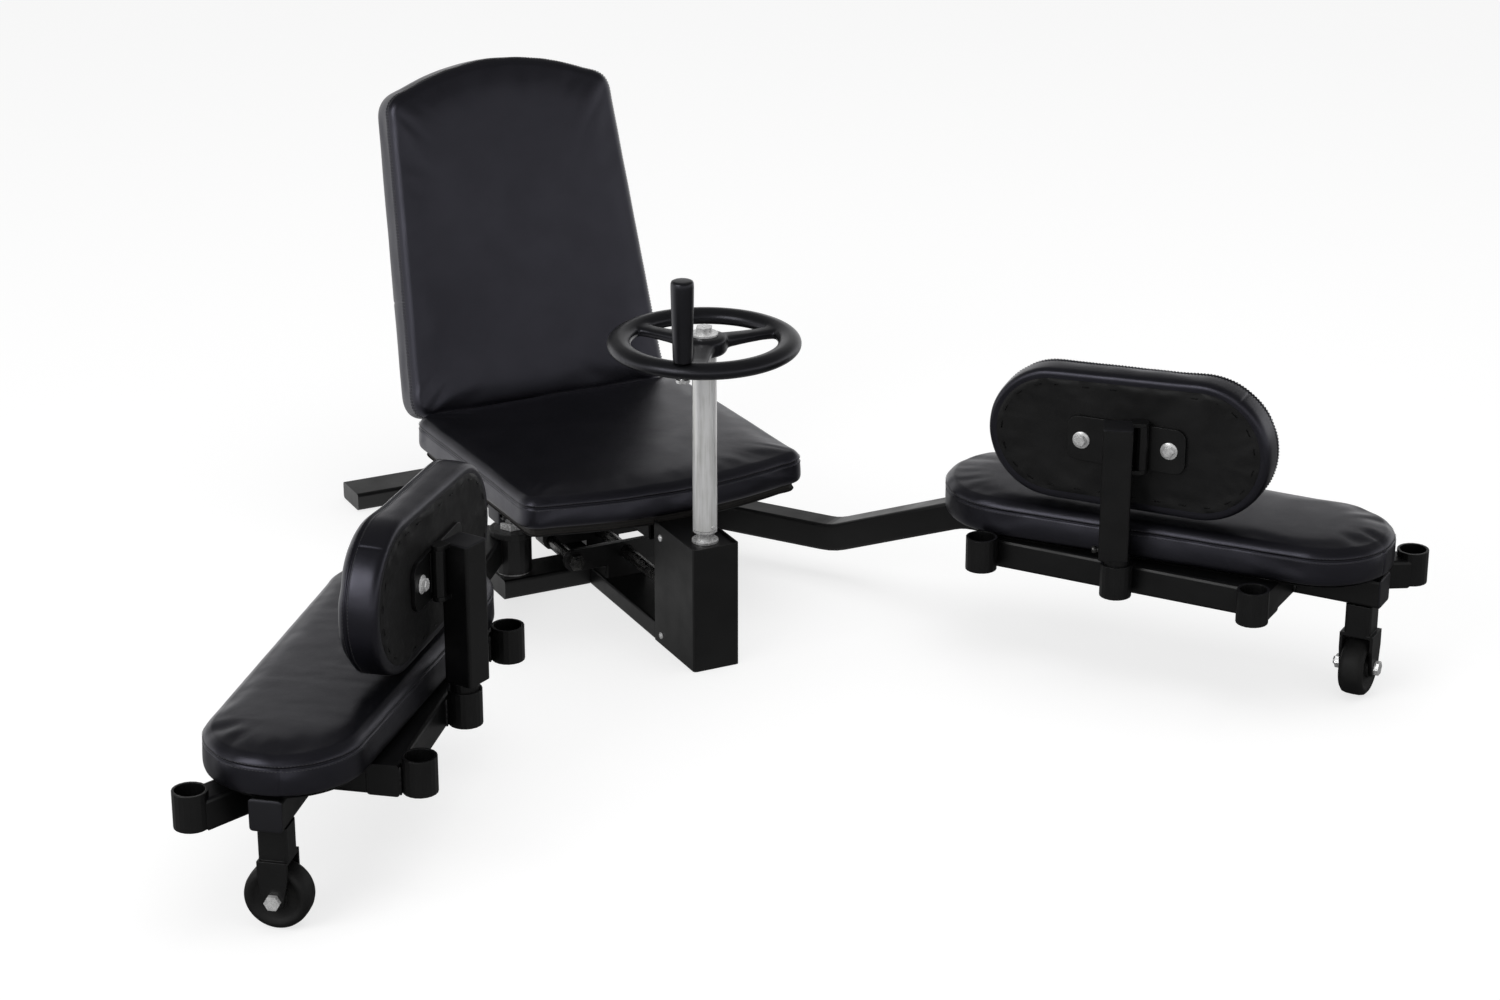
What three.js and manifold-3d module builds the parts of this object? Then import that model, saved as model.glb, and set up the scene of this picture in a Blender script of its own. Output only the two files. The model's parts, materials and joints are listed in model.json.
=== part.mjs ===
// Leg stretching machine: a padded seat and a reclined backrest on a tube base.
// Two hinged leg arms with padded rests roll apart on casters when the hand wheel is turned:
// its column drives a lead screw through a pair of bevel gears, and the screw pulls a
// crosshead along two guide rods, which swings the levers at the arms' pivots.
//
// Millimetres, +Z up. The front of the machine looks along -Y and +X is its left side.
// The origin lies on the floor, in the plane of symmetry.

import * as THREE from 'three';
import { mergeVertices } from 'three/addons/utils/BufferGeometryUtils.js';
import Module from 'manifold-3d';

const wasm = await Module();
wasm.setup();

// Fits and cuts
const seatGap = 0.3;
const runningGap = 0.4;
const overrun = 6;

// Counts of facets
const tubeCornerSteps = 1;
const roundCornerSteps = 3;
const bendSteps = 3;
const pinSides = 12;
const roundSides = 20;
const columnSides = 28;
const wheelSides = 28;
const rimSides = 40;
const rimSteps = 12;
const cornerSteps = 4;
const roundEndSteps = 6;

// Base tubes, which lie on the floor
const spine = { width: 64, height: 25, wall: 2.5, corner: 3, rearEnd: 343 };
const middleFoot = { halfSpan: 156, front: -46, rear: 14, height: 27, wall: 2.5, corner: 4 };
const rearFoot = { halfSpan: 218, depth: 60, height: 25, wall: 2.5, corner: 4, ventRadius: 4 };

// Gear box at the front end of the spine
const gearbox = { front: -368, rear: -251, height: 167, sheet: 2, bend: 4 };
const boxFrame = { plate: 4, topRecess: 4 };
const collar = { radius: 11, rise: 10, flangeRadius: 17, flange: 3 };

// Drive: column, bevel gears, screw and crosshead
const column = { y: -335, radius: 15.5, wall: 2, shaftRadius: 8, plugLength: 22, flange: 3, belowWheel: 14 };
const screw = { height: 60, radius: 9, rearTail: 6 };
const bevel = { teethCount: 16, pitchRadius: 20, addendum: 2, dedendum: 3, hubRadius: 14, hubLength: 12 };
const bevelTipShare = 0.14;
const bevelRootShare = 0.33;
const bevelFaceShare = 0.36;
const guideBracket = { plate: 8, frontY: -95, rearY: 58, stemHalfWidth: 28, barHalfHeight: 15 };
const guideRod = { x: 75, radius: 7, thread: 10, nutAcross: 20, nut: 8 };
const crosshead = { length: 30, blockHalfWidth: 24, blockHalfHeight: 16, webHalfHeight: 8, bossRadius: 12 };
const slotLedge = { top: 80, wall: 5, floor: 3.5 };

// Hand wheel
const handwheel = { height: 428, radius: 106, rimWidth: 30, rimHeight: 21, hubRadius: 29, hubHeight: 24 };
const spoke = { count: 3, rootWidth: 30, tipWidth: 22, rootHeight: 16, tipHeight: 12, inset: 6 };
const hubBolt = { radius: 6, washerRadius: 17.5, washer: 2.5, across: 19, head: 8, length: 60 };
const handle = { angle: 230, rise: 114, tipRadius: 14.25, baseRadius: 11, cap: 6 };
const spindle = { radius: 5, headRadius: 9, head: 4 };
const columnTop = handwheel.height - column.belowWheel;
const handleTop = handwheel.height + handle.rise;
const gripDomeAngles = [35, 70];

// Pivots of the leg arms, on the middle foot
const pivot = {
  inset: 25, y: -16, pinRadius: 10, flangeRadius: 22, flange: 3,
  nutAcross: 30, nut: 10, headroom: 13.5796,
};
const pivotX = middleFoot.halfSpan - pivot.inset;
const barrel = { radius: 25, top: 90 };
const lever = { radius: 70, restAngle: 12.5, hubWall: 6, thickness: 8, endRadius: 12, pinRadius: 5.5 };
const leverPullShare = 0.94;

// Travel of the arms from rest, in degrees: outwards and inwards
const openAngle = 52;
const closeAngle = 27;
const legTurns = { leftAngle: 35.5, rightAngle: 38.2 };

// Leg arm: a square tube that leaves the pivot low and rises to carry the rest
const armTube = { size: 38, wall: 2.5, corner: 4, bendRadius: 80 };
const armPath = {
  start: -22, lowAside: 28, lowBottom: 43, bendOut: 211, riseOut: 411,
  aside: 5, bottom: 124, end: 978,
};

// Sockets along the inner side of each arm, and one on a branch at its end
const socket = { radius: 20, bore: 17, bottom: 128, top: 171, floor: 3, floorHole: 8 };
const rail = { aside: -92, firstPast: 0.6, middleAlong: 677, lastPast: 6.4 };
const crossTube = { innerAlong: 493.4, beforeEnd: 127.6 };
const branch = { angle: 32, pastEnd: 10, endAside: 85.6 };
const outerCrossAlong = armPath.end - crossTube.beforeEnd;

// Caster under each arm's outer end
const caster = { beforeEnd: 24.6, aside: 3, wheelRadius: 38, wheelWidth: 32, tyreEdge: 7, sideGap: 1.6 };
const fork = { plate: 4, width: 34, crownGap: 5, footRadius: 12, post: 34, postWall: 2.5 };
const casterAlong = armPath.end - caster.beforeEnd;
const wheelHub = { radius: 13, recess: 3, recessRadius: 25 };
const tyreEdgeAngles = [0, 45, 90];
const axle = { radius: 5, head: 6, headAcross: 16, nut: 7, tail: 3 };

// Cushions: how far the cover draws in, rolls over and bulges
const cover = { drawIn: 7, edgeRadius: 12, seamDrop: 12, seamHalfWidth: 2.2, seamDepth: 1.6 };
const coverLowerShare = 0.14;
const coverLowerInsetShare = 0.3;
const coverMiddleShare = 0.5;
const crownShares = [0.25, 0.6];
const coverRollAngles = [35, 90];
const outlineStep = 90;
const board = { thickness: 12, inset: 13 };

// Leg rest: a cushion between a larger inner circle and a smaller outer one
const legPad = { bottom: 167, top: 214, crown: 6 };
const legPadInner = { along: 500.4, aside: -10, radius: 104 };
const legPadOuter = { beforeEnd: 86.6, aside: 7, radius: 94 };

// Seat, which falls slightly to the rear
const seat = {
  halfWidth: 202, front: -235, bow: 27, rear: 165, corner: 36,
  belowBox: 2, thickness: 42, crown: 7,
};
const seatFallAngle = 1.72;
const seatFrame = { tube: 38, wall: 2.5, corner: 3, frontEnd: -205, uprightY: 100 };
const seatBottom = gearbox.height - seat.belowBox;

// Backrest, measured along its slope from the point where its front meets the seat's rear
const backrest = {
  y: 179.3, riseAboveSeat: 39, below: 22, side: 424, rise: 36,
  halfWidth: 193.3, thickness: 51, crown: 7,
};
const backrestLeanAngle = 17.2;
const backrestZ = seatBottom + backrest.riseAboveSeat;
const backrestTaper = { perSide: 24.5, lowerCorner: 38, upperCorner: 34 };
const backPost = { width: 60, depth: 30, wall: 2.5, corner: 3, bendHeight: 150, bendRadius: 70, reach: 330 };

// Side pad on its post, hinged so that the pad turns against the knee. The hinge's place is
// measured from the middle socket.
const sidePost = {
  size: 37, wall: 2, corner: 3, bottom: 180, top: 351,
  along: -3.6, aside: -2.5, yawAngle: 21.5,
};
const hinge = {
  along: 18.85, aside: 20.3, radius: 8, bottom: 292, top: 348,
  pinRadius: 4, lug: 5, yawAngle: 4,
};
const sidePlate = { length: 152, height: 58, centre: -23, z: 317, back: 8.3, thickness: 5, corner: 14 };
const sidePad = { thickness: 48, crown: 5 };
const sidePadInner = { along: -120.5, z: 314.5, radius: 86.5 };
const sidePadOuter = { along: 68.3, z: 318.2, radius: 90.8 };

const materials = {
  steel: new THREE.MeshStandardMaterial({ color: 0x17171a, roughness: 0.42, metalness: 0.35 }),
  zinc: new THREE.MeshStandardMaterial({ color: 0xb9babd, roughness: 0.32, metalness: 0.9 }),
  chrome: new THREE.MeshStandardMaterial({ color: 0xd8d9dc, roughness: 0.14, metalness: 1 }),
  plastic: new THREE.MeshStandardMaterial({ color: 0x141416, roughness: 0.38, metalness: 0 }),
  vinyl: new THREE.MeshStandardMaterial({ color: 0x1b1b1f, roughness: 0.46, metalness: 0 }),
  plywood: new THREE.MeshStandardMaterial({ color: 0x9c7a52, roughness: 0.8, metalness: 0 }),
  rubber: new THREE.MeshStandardMaterial({ color: 0x121212, roughness: 0.75, metalness: 0 }),
};

const model = new THREE.Group();

// Solids

function solid(geometry) {
  const bare = new THREE.BufferGeometry();
  bare.setAttribute('position', geometry.getAttribute('position'));
  bare.setIndex(geometry.index);
  const welded = mergeVertices(bare);
  const corners = welded.index.array;
  const faces = [];
  for (let i = 0; i < corners.length; i += 3) {
    const [a, b, c] = corners.slice(i, i + 3);
    if (a !== b && b !== c && c !== a) faces.push(a, b, c);
  }
  const points = welded.getAttribute('position').array;
  if (signedVolume(points, faces) < 0) faces.reverse();
  return new wasm.Manifold(new wasm.Mesh({
    numProp: 3,
    vertProperties: new Float32Array(points),
    triVerts: new Uint32Array(faces),
  }));
}

function signedVolume(points, faces) {
  const [a, b, c] = [new THREE.Vector3(), new THREE.Vector3(), new THREE.Vector3()];
  let sum = 0;
  for (let i = 0; i < faces.length; i += 3) {
    a.fromArray(points, 3 * faces[i]);
    b.fromArray(points, 3 * faces[i + 1]);
    c.fromArray(points, 3 * faces[i + 2]);
    sum += a.dot(b.cross(c));
  }
  return sum;
}

function geometryOf(body, mirrored) {
  const mesh = body.getMesh();
  const geometry = new THREE.BufferGeometry();
  geometry.setAttribute('position', new THREE.BufferAttribute(mesh.vertProperties, 3));
  const faces = Array.from(mesh.triVerts);
  if (mirrored) {
    geometry.scale(1, -1, 1);
    faces.reverse();
  }
  geometry.setIndex(faces);
  geometry.computeVertexNormals();
  return geometry;
}

// A solid in its parent's frame; on the right-hand side of the user (side -1) it is mirrored
function piece(parent, name, body, material, side = 1) {
  const mesh = new THREE.Mesh(geometryOf(body, side < 0), material);
  mesh.name = name;
  parent.add(mesh);
}

function join(...bodies) {
  return bodies.reduce((whole, body) => whole.add(body));
}

function cut(body, ...tools) {
  return tools.reduce((rest, tool) => rest.subtract(tool), body);
}

function radians(degrees) {
  return THREE.MathUtils.degToRad(degrees);
}

// Outlines

function roundedRect(width, height, corner) {
  const x = width / 2 - corner;
  const y = height / 2 - corner;
  const shape = new THREE.Shape();
  shape.absarc(x, y, corner, 0, Math.PI / 2);
  shape.absarc(-x, y, corner, Math.PI / 2, Math.PI);
  shape.absarc(-x, -y, corner, Math.PI, 1.5 * Math.PI);
  shape.absarc(x, -y, corner, 1.5 * Math.PI, 2 * Math.PI);
  shape.closePath();
  return shape;
}

function polygon(corners) {
  return new THREE.Shape(corners.map(([x, y]) => new THREE.Vector2(x, y)));
}

function rectangle(x0, x1, y0, y1) {
  return polygon([[x0, y0], [x1, y0], [x1, y1], [x0, y1]]);
}

function hexagon(across) {
  const radius = across / Math.sqrt(3);
  const corners = Array.from({ length: 6 }, (_, i) => radians(60 * i));
  return polygon(corners.map((angle) => [radius * Math.cos(angle), radius * Math.sin(angle)]));
}

// The outline round two circles, as a list of points
function taperOutline(x0, y0, r0, x1, y1, r1) {
  const axis = Math.atan2(y1 - y0, x1 - x0);
  const lean = Math.acos((r0 - r1) / Math.hypot(x1 - x0, y1 - y0));
  const shape = new THREE.Shape();
  shape.absarc(x1, y1, r1, axis - lean, axis + lean);
  shape.absarc(x0, y0, r0, axis + lean, axis - lean + 2 * Math.PI);
  return evenOutline(shape.getPoints(roundEndSteps));
}

// Drops doubled points and splits long straight runs
function evenOutline(points) {
  const even = [];
  points.forEach((point, i) => {
    const next = points[(i + 1) % points.length];
    const length = point.distanceTo(next);
    if (length < seatGap) return;
    const runs = Math.ceil(length / outlineStep);
    for (let k = 0; k < runs; k += 1) even.push(point.clone().lerp(next, k / runs));
  });
  return even;
}

// Moves each point of a closed outline inwards, square to the outline
function inset(outline, distance) {
  return outline.map((point, i) => {
    const before = outline[(i + outline.length - 1) % outline.length];
    const after = outline[(i + 1) % outline.length];
    const along = after.clone().sub(before).normalize();
    return new THREE.Vector2(point.x - along.y * distance, point.y + along.x * distance);
  });
}

// Prisms, which run from one place to another along an axis

function prismZ(shape, z0, z1, curveSegments = tubeCornerSteps) {
  const geometry = new THREE.ExtrudeGeometry(shape, { depth: z1 - z0, bevelEnabled: false, curveSegments });
  return geometry.translate(0, 0, z0);
}

// The outline's first direction lies along Y and its second along Z
function prismX(shape, x0, x1, curveSegments = tubeCornerSteps) {
  const turn = new THREE.Matrix4().makeBasis(
    new THREE.Vector3(0, 1, 0),
    new THREE.Vector3(0, 0, 1),
    new THREE.Vector3(1, 0, 0),
  );
  return prismZ(shape, x0, x1, curveSegments).applyMatrix4(turn);
}

// The outline's first direction lies along X and its second along Z
function prismY(shape, y0, y1, curveSegments = tubeCornerSteps) {
  return prismZ(shape, -y1, -y0, curveSegments).rotateX(Math.PI / 2);
}

function box(x0, x1, y0, y1, z0, z1) {
  return solid(prismZ(rectangle(x0, x1, y0, y1), z0, z1));
}

// Turned pieces, about an upright axis
function turned(profile, sides) {
  const points = profile.map(([radius, height]) => new THREE.Vector2(radius, height));
  return new THREE.LatheGeometry(points, sides).rotateX(Math.PI / 2);
}

function cylinder(radius, z0, z1, sides = roundSides) {
  return turned([[0, z0], [radius, z0], [radius, z1], [0, z1]], sides);
}

function upright(geometry, x, y) {
  return geometry.translate(x, y, 0);
}

// Lies the turned piece's axis down along +Y
function lyingY(geometry, x, z) {
  return geometry.rotateX(-Math.PI / 2).translate(x, 0, z);
}

// Lies the turned piece's axis down along +X
function lyingX(geometry, y, z) {
  return geometry.rotateY(Math.PI / 2).translate(0, y, z);
}

// Skin over a row of rings with as many points each, closed at both ends
function loft(rings) {
  const count = rings[0].length;
  const points = rings.flat();
  const first = points.length;
  const last = first + 1;
  points.push(middle(rings[0]), middle(rings[rings.length - 1]));
  const faces = [];
  const top = (rings.length - 1) * count;
  for (let i = 0; i < count; i += 1) {
    const j = (i + 1) % count;
    for (let base = 0; base < top; base += count) {
      faces.push(base + i, base + j, base + count + j);
      faces.push(base + i, base + count + j, base + count + i);
    }
    faces.push(first, j, i);
    faces.push(last, top + i, top + j);
  }
  const geometry = new THREE.BufferGeometry().setFromPoints(points);
  geometry.setIndex(faces);
  return geometry;
}

function middle(ring) {
  const sum = ring.reduce((total, point) => total.add(point), new THREE.Vector3());
  return sum.divideScalar(ring.length);
}

// Rounds the corners of a path of straight runs
function bentPath(corners, radius) {
  const path = [corners[0]];
  for (let i = 1; i < corners.length - 1; i += 1) {
    const into = corners[i].clone().sub(corners[i - 1]).normalize();
    const out = corners[i + 1].clone().sub(corners[i]).normalize();
    const reach = radius * Math.tan(into.angleTo(out) / 2);
    const start = corners[i].clone().addScaledVector(into, -reach);
    const end = corners[i].clone().addScaledVector(out, reach);
    path.push(...new THREE.QuadraticBezierCurve3(start, corners[i], end).getPoints(bendSteps));
  }
  path.push(corners[corners.length - 1]);
  return path;
}

// Carries a section along a path; the first direction of the section starts along `across`
function sweep(path, section, across) {
  const side = across.clone();
  return loft(path.map((point, i) => {
    const before = path[Math.max(i - 1, 0)];
    const after = path[Math.min(i + 1, path.length - 1)];
    const ahead = after.clone().sub(before).normalize();
    side.addScaledVector(ahead, -side.dot(ahead)).normalize();
    const up = ahead.clone().cross(side);
    return section.map((s) => point.clone().addScaledVector(side, s.x).addScaledVector(up, s.y));
  }));
}

function sectionPoints(width, height, corner) {
  const points = roundedRect(width, height, corner).getPoints(tubeCornerSteps);
  return points.filter((point, i) => i === 0 || point.distanceTo(points[i - 1]) > seatGap);
}

// Makes a path longer at both ends, for the hollow of a tube
function stretched(path, length) {
  const first = path[0].clone().add(path[0].clone().sub(path[1]).setLength(length));
  const last = path[path.length - 1];
  const beyond = last.clone().add(last.clone().sub(path[path.length - 2]).setLength(length));
  return [first, ...path.slice(1, -1), beyond];
}

function bentTube(corners, width, height, wall, corner, bendRadius, across) {
  const path = bentPath(corners, bendRadius);
  const outer = solid(sweep(path, sectionPoints(width, height, corner), across));
  const hollow = hollowSection(width, height, wall).getPoints();
  return { outer, hollow: solid(sweep(stretched(path, overrun), hollow, across)) };
}

// A tube's wall as an outline with a hole
function tubeSection(width, height, wall, corner) {
  const shape = roundedRect(width, height, corner);
  shape.holes.push(hollowSection(width, height, wall));
  return shape;
}

function hollowSection(width, height, wall) {
  const x = width / 2 - wall;
  const y = height / 2 - wall;
  return rectangle(-x, x, -y, y);
}

// Base

function baseSpine() {
  const section = tubeSection(spine.width, spine.height, spine.wall, spine.corner);
  const tube = prismY(section, gearbox.rear + seatGap, spine.rearEnd - seatGap);
  piece(model, 'spine_tube', solid(tube.translate(0, 0, spine.height / 2)), materials.steel);
}

// Each half butts on the spine and is closed by a welded plate at its outer end
function baseMiddleFoot() {
  const depth = middleFoot.rear - middleFoot.front;
  const inner = spine.width / 2 + seatGap;
  const { halfSpan, height, wall, corner } = middleFoot;
  const whole = prismX(roundedRect(depth, height, corner), inner, halfSpan);
  const space = prismX(hollowSection(depth, height, wall), inner - overrun, halfSpan - wall);
  const half = cut(solid(whole), solid(space));
  for (const [name, turn] of [['left', 0], ['right', Math.PI]]) {
    const place = new THREE.Group();
    place.position.set(0, (middleFoot.front + middleFoot.rear) / 2, height / 2);
    place.rotation.z = turn;
    model.add(place);
    piece(place, `middle_foot_${name}`, half, materials.steel);
  }
}

// Closed at both ends, with a vent hole underneath
function baseRearFoot() {
  const { halfSpan, depth, height, wall, corner, ventRadius } = rearFoot;
  const centre = [spine.rearEnd + depth / 2, height / 2];
  const whole = prismX(roundedRect(depth, height, corner), -halfSpan, halfSpan);
  const space = prismX(hollowSection(depth, height, wall), -halfSpan + wall, halfSpan - wall);
  const vent = cylinder(ventRadius, -height / 2 - overrun, 0, pinSides);
  const body = cut(solid(whole), solid(space), solid(vent));
  const place = new THREE.Group();
  place.position.set(0, ...centre);
  model.add(place);
  piece(place, 'rear_foot', body, materials.steel);
}

// Gear box

// Bent sheet round the front and both sides, open at the back, top and bottom
function gearboxCover() {
  const half = spine.width / 2;
  const { front, rear, sheet, bend, height } = gearbox;
  const sides = (offset, radius, end) => {
    const shape = new THREE.Shape();
    shape.moveTo(half - offset, end);
    shape.lineTo(-half + offset, end);
    shape.absarc(-half + offset + radius, front + offset + radius, radius, Math.PI, 1.5 * Math.PI);
    shape.absarc(half - offset - radius, front + offset + radius, radius, 1.5 * Math.PI, 2 * Math.PI);
    return shape;
  };
  const outer = solid(prismZ(sides(0, bend, rear), 0, height));
  const inner = solid(prismZ(sides(sheet, bend - sheet, rear + overrun), -overrun, height + overrun));
  piece(model, 'gearbox_cover', cut(outer, inner), materials.steel);
}

// Bottom, back and recessed top plates, which carry the bearings
function gearboxFrame() {
  const halfWidth = spine.width / 2 - gearbox.sheet - seatGap;
  const front = gearbox.front + gearbox.bend + seatGap;
  const back = gearbox.rear - seatGap;
  const { plate, topRecess } = boxFrame;
  const top = gearbox.height - topRecess;
  const profile = polygon([
    [front, 0], [back, 0], [back, top], [front, top],
    [front, top - plate], [back - plate, top - plate], [back - plate, plate], [front, plate],
  ]);
  const body = solid(prismX(profile, -halfWidth, halfWidth));
  const columnHole = cylinder(column.shaftRadius + runningGap, top - plate - overrun, top + overrun);
  const screwHole = cylinder(screw.radius + runningGap, back - plate - overrun, back + overrun);
  const holes = [upright(columnHole, 0, column.y), lyingY(screwHole, 0, screw.height)];
  piece(model, 'gearbox_frame', cut(body, ...holes.map(solid)), materials.steel);
}

function columnCollar() {
  const base = gearbox.height - boxFrame.topRecess + seatGap;
  const top = gearbox.height + collar.rise;
  const bore = column.shaftRadius + runningGap;
  const profile = [
    [bore, base], [collar.flangeRadius, base], [collar.flangeRadius, base + collar.flange],
    [collar.radius, base + collar.flange], [collar.radius, top], [bore, top], [bore, base],
  ];
  piece(model, 'column_collar', solid(upright(turned(profile, roundSides), 0, column.y)), materials.zinc);
}

// Column and hand wheel

const columnFoot = gearbox.height + collar.rise + seatGap;

function columnShaft() {
  const { shaftRadius, radius, wall, flange, plugLength } = column;
  const small = screw.height + bevel.pitchRadius * (1 - bevelFaceShare);
  const plug = radius - wall - seatGap;
  const profile = [
    [0, small], [shaftRadius, small], [shaftRadius, columnFoot],
    [radius, columnFoot], [radius, columnFoot + flange], [plug, columnFoot + flange],
    [plug, columnFoot + flange + plugLength], [0, columnFoot + flange + plugLength],
  ];
  piece(model, 'column_shaft', solid(upright(turned(profile, roundSides), 0, column.y)), materials.zinc);
}

function columnTube() {
  const { radius, wall, flange } = column;
  const base = columnFoot + flange + seatGap;
  const inside = radius - wall;
  const profile = [[inside, base], [radius, base], [radius, columnTop], [inside, columnTop], [inside, base]];
  piece(model, 'column_tube', solid(upright(turned(profile, columnSides), 0, column.y)), materials.chrome);
}

// Bevel gear with straight teeth that run towards its apex at the origin, and its hub above
function bevelGear(bore, firstTooth) {
  const { teethCount, pitchRadius, addendum, dedendum, hubRadius, hubLength } = bevel;
  const pitch = 2 * Math.PI / teethCount;
  const corners = [
    [-bevelRootShare, pitchRadius - dedendum], [-bevelTipShare, pitchRadius + addendum],
    [bevelTipShare, pitchRadius + addendum], [bevelRootShare, pitchRadius - dedendum],
  ];
  const ring = (scale) => Array.from({ length: 4 * teethCount }, (_, i) => {
    const [turn, radius] = corners[i % 4];
    const angle = (Math.floor(i / 4) + turn + firstTooth) * pitch;
    const reach = radius * scale;
    return new THREE.Vector3(reach * Math.cos(angle), reach * Math.sin(angle), pitchRadius * scale);
  });
  const teeth = solid(loft([ring(1 - bevelFaceShare), ring(1)]));
  const hub = solid(cylinder(hubRadius, pitchRadius - dedendum, pitchRadius + hubLength, roundSides));
  return cut(teeth.add(hub), solid(cylinder(bore, -overrun, pitchRadius + hubLength + overrun, roundSides)));
}

// A tooth of the column's gear stands in a gap of the screw's gear
function columnGear() {
  const place = new THREE.Group();
  place.position.set(0, column.y, screw.height);
  place.rotation.z = Math.PI / 2;
  model.add(place);
  piece(place, 'column_bevel_gear', bevelGear(column.shaftRadius + seatGap, 0), materials.zinc);
}

function screwGear() {
  const place = new THREE.Group();
  place.position.set(0, column.y, screw.height);
  place.rotation.set(-Math.PI / 2, 0, Math.PI / 2, 'XYZ');
  model.add(place);
  piece(place, 'screw_bevel_gear', bevelGear(screw.radius + seatGap, 0.5), materials.zinc);
}

function wheelSpoke(angle) {
  const { rootWidth, tipWidth, rootHeight, tipHeight, inset: sunk } = spoke;
  const start = handwheel.hubRadius - sunk;
  const end = handwheel.radius - handwheel.rimWidth / 2 + sunk;
  const ring = (x, width, height) => sectionPoints(width, height, height / 3)
    .map((s) => new THREE.Vector3(x, s.x, s.y));
  const arm = loft([ring(start, rootWidth, rootHeight), ring(end, tipWidth, tipHeight)]);
  return solid(arm.rotateZ(angle).translate(0, column.y, handwheel.height));
}

// Rim of oval section, hub with a spigot that enters the column, three spokes
function wheelBody() {
  const { height, radius, rimWidth, rimHeight, hubRadius, hubHeight } = handwheel;
  const oval = Array.from({ length: rimSteps + 1 }, (_, i) => 2 * Math.PI * i / rimSteps);
  const section = oval
    .map((t) => [radius + rimWidth / 2 * Math.cos(t), height + rimHeight / 2 * Math.sin(t)]);
  const rim = solid(upright(turned(section, rimSides), 0, column.y));
  const base = columnTop + seatGap;
  const plug = column.radius - column.wall - seatGap;
  const top = base + hubHeight;
  const edge = hubHeight / 4;
  const hubProfile = [
    [0, base - column.plugLength], [plug, base - column.plugLength], [plug, base],
    [hubRadius - edge, base], [hubRadius, base + edge], [hubRadius, top - edge],
    [hubRadius - edge, top], [0, top],
  ];
  const hub = solid(upright(turned(hubProfile, roundSides), 0, column.y));
  const spokes = Array.from({ length: spoke.count }, (_, i) => wheelSpoke(2 * Math.PI * i / spoke.count));
  const boreBottom = base - column.plugLength - overrun;
  const boltHole = cylinder(hubBolt.radius + seatGap, boreBottom, top + overrun, pinSides);
  const spindleHole = cylinder(spindle.radius + seatGap, height - rimHeight, height + rimHeight, pinSides);
  const holes = [upright(boltHole, 0, column.y), atHandle(spindleHole)];
  piece(model, 'handwheel', cut(join(rim, hub, ...spokes), ...holes.map(solid)), materials.plastic);
}

function wheelBolt() {
  const seatTop = columnTop + seatGap + handwheel.hubHeight + seatGap;
  const { radius, washerRadius, washer, across, head, length } = hubBolt;
  const profile = [
    [0, seatTop - length], [radius, seatTop - length], [radius, seatTop],
    [washerRadius, seatTop], [washerRadius, seatTop + washer], [0, seatTop + washer],
  ];
  const shank = solid(turned(profile, roundSides));
  const hex = solid(prismZ(hexagon(across), seatTop + washer / 2, seatTop + washer + head));
  const place = new THREE.Group();
  place.position.set(0, column.y, 0);
  model.add(place);
  piece(place, 'hub_bolt', join(shank, hex), materials.zinc);
}

function atHandle(geometry) {
  const angle = radians(handle.angle);
  const x = handwheel.radius * Math.cos(angle);
  const y = column.y + handwheel.radius * Math.sin(angle);
  return upright(geometry, x, y);
}

const gripBase = handwheel.height + handwheel.rimHeight / 2 + seatGap;

function handleSpindle() {
  const under = handwheel.height - handwheel.rimHeight / 2 - seatGap;
  const { radius, headRadius, head } = spindle;
  const top = handleTop - handle.cap - runningGap;
  const profile = [
    [0, under - head], [headRadius, under - head], [headRadius, under],
    [radius, under], [radius, top], [0, top],
  ];
  piece(model, 'handle_spindle', solid(atHandle(turned(profile, pinSides))), materials.zinc);
}

// Grip that swells towards its domed top and turns on the spindle
function handleGrip() {
  const { tipRadius, baseRadius, cap } = handle;
  const top = handleTop;
  const length = top - gripBase;
  const dome = length / 6;
  const bore = spindle.radius + runningGap;
  const swell = (share) => baseRadius + (tipRadius - baseRadius) * Math.sin(share * Math.PI / 2);
  const side = [0, 0.33, 0.66, 1].map((s) => [swell(s), gripBase + (length - dome) * s]);
  const rounded = gripDomeAngles.map(radians)
    .map((t) => [tipRadius * Math.cos(t), top - dome + dome * Math.sin(t)]);
  const profile = [
    [bore, gripBase], ...side, ...rounded, [0, top], [0, top - cap], [bore, top - cap], [bore, gripBase],
  ];
  piece(model, 'handle_grip', solid(atHandle(turned(profile, roundSides))), materials.plastic);
}

// Screw, guides and crosshead

const rearBracketBack = guideBracket.rearY + guideBracket.plate;

function leadScrew() {
  const front = column.y + bevel.pitchRadius * (1 - bevelFaceShare);
  const rear = rearBracketBack + screw.rearTail;
  const shaft = lyingY(cylinder(screw.radius, front, rear, pinSides), 0, screw.height);
  piece(model, 'lead_screw', solid(shaft), materials.zinc);
}

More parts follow.
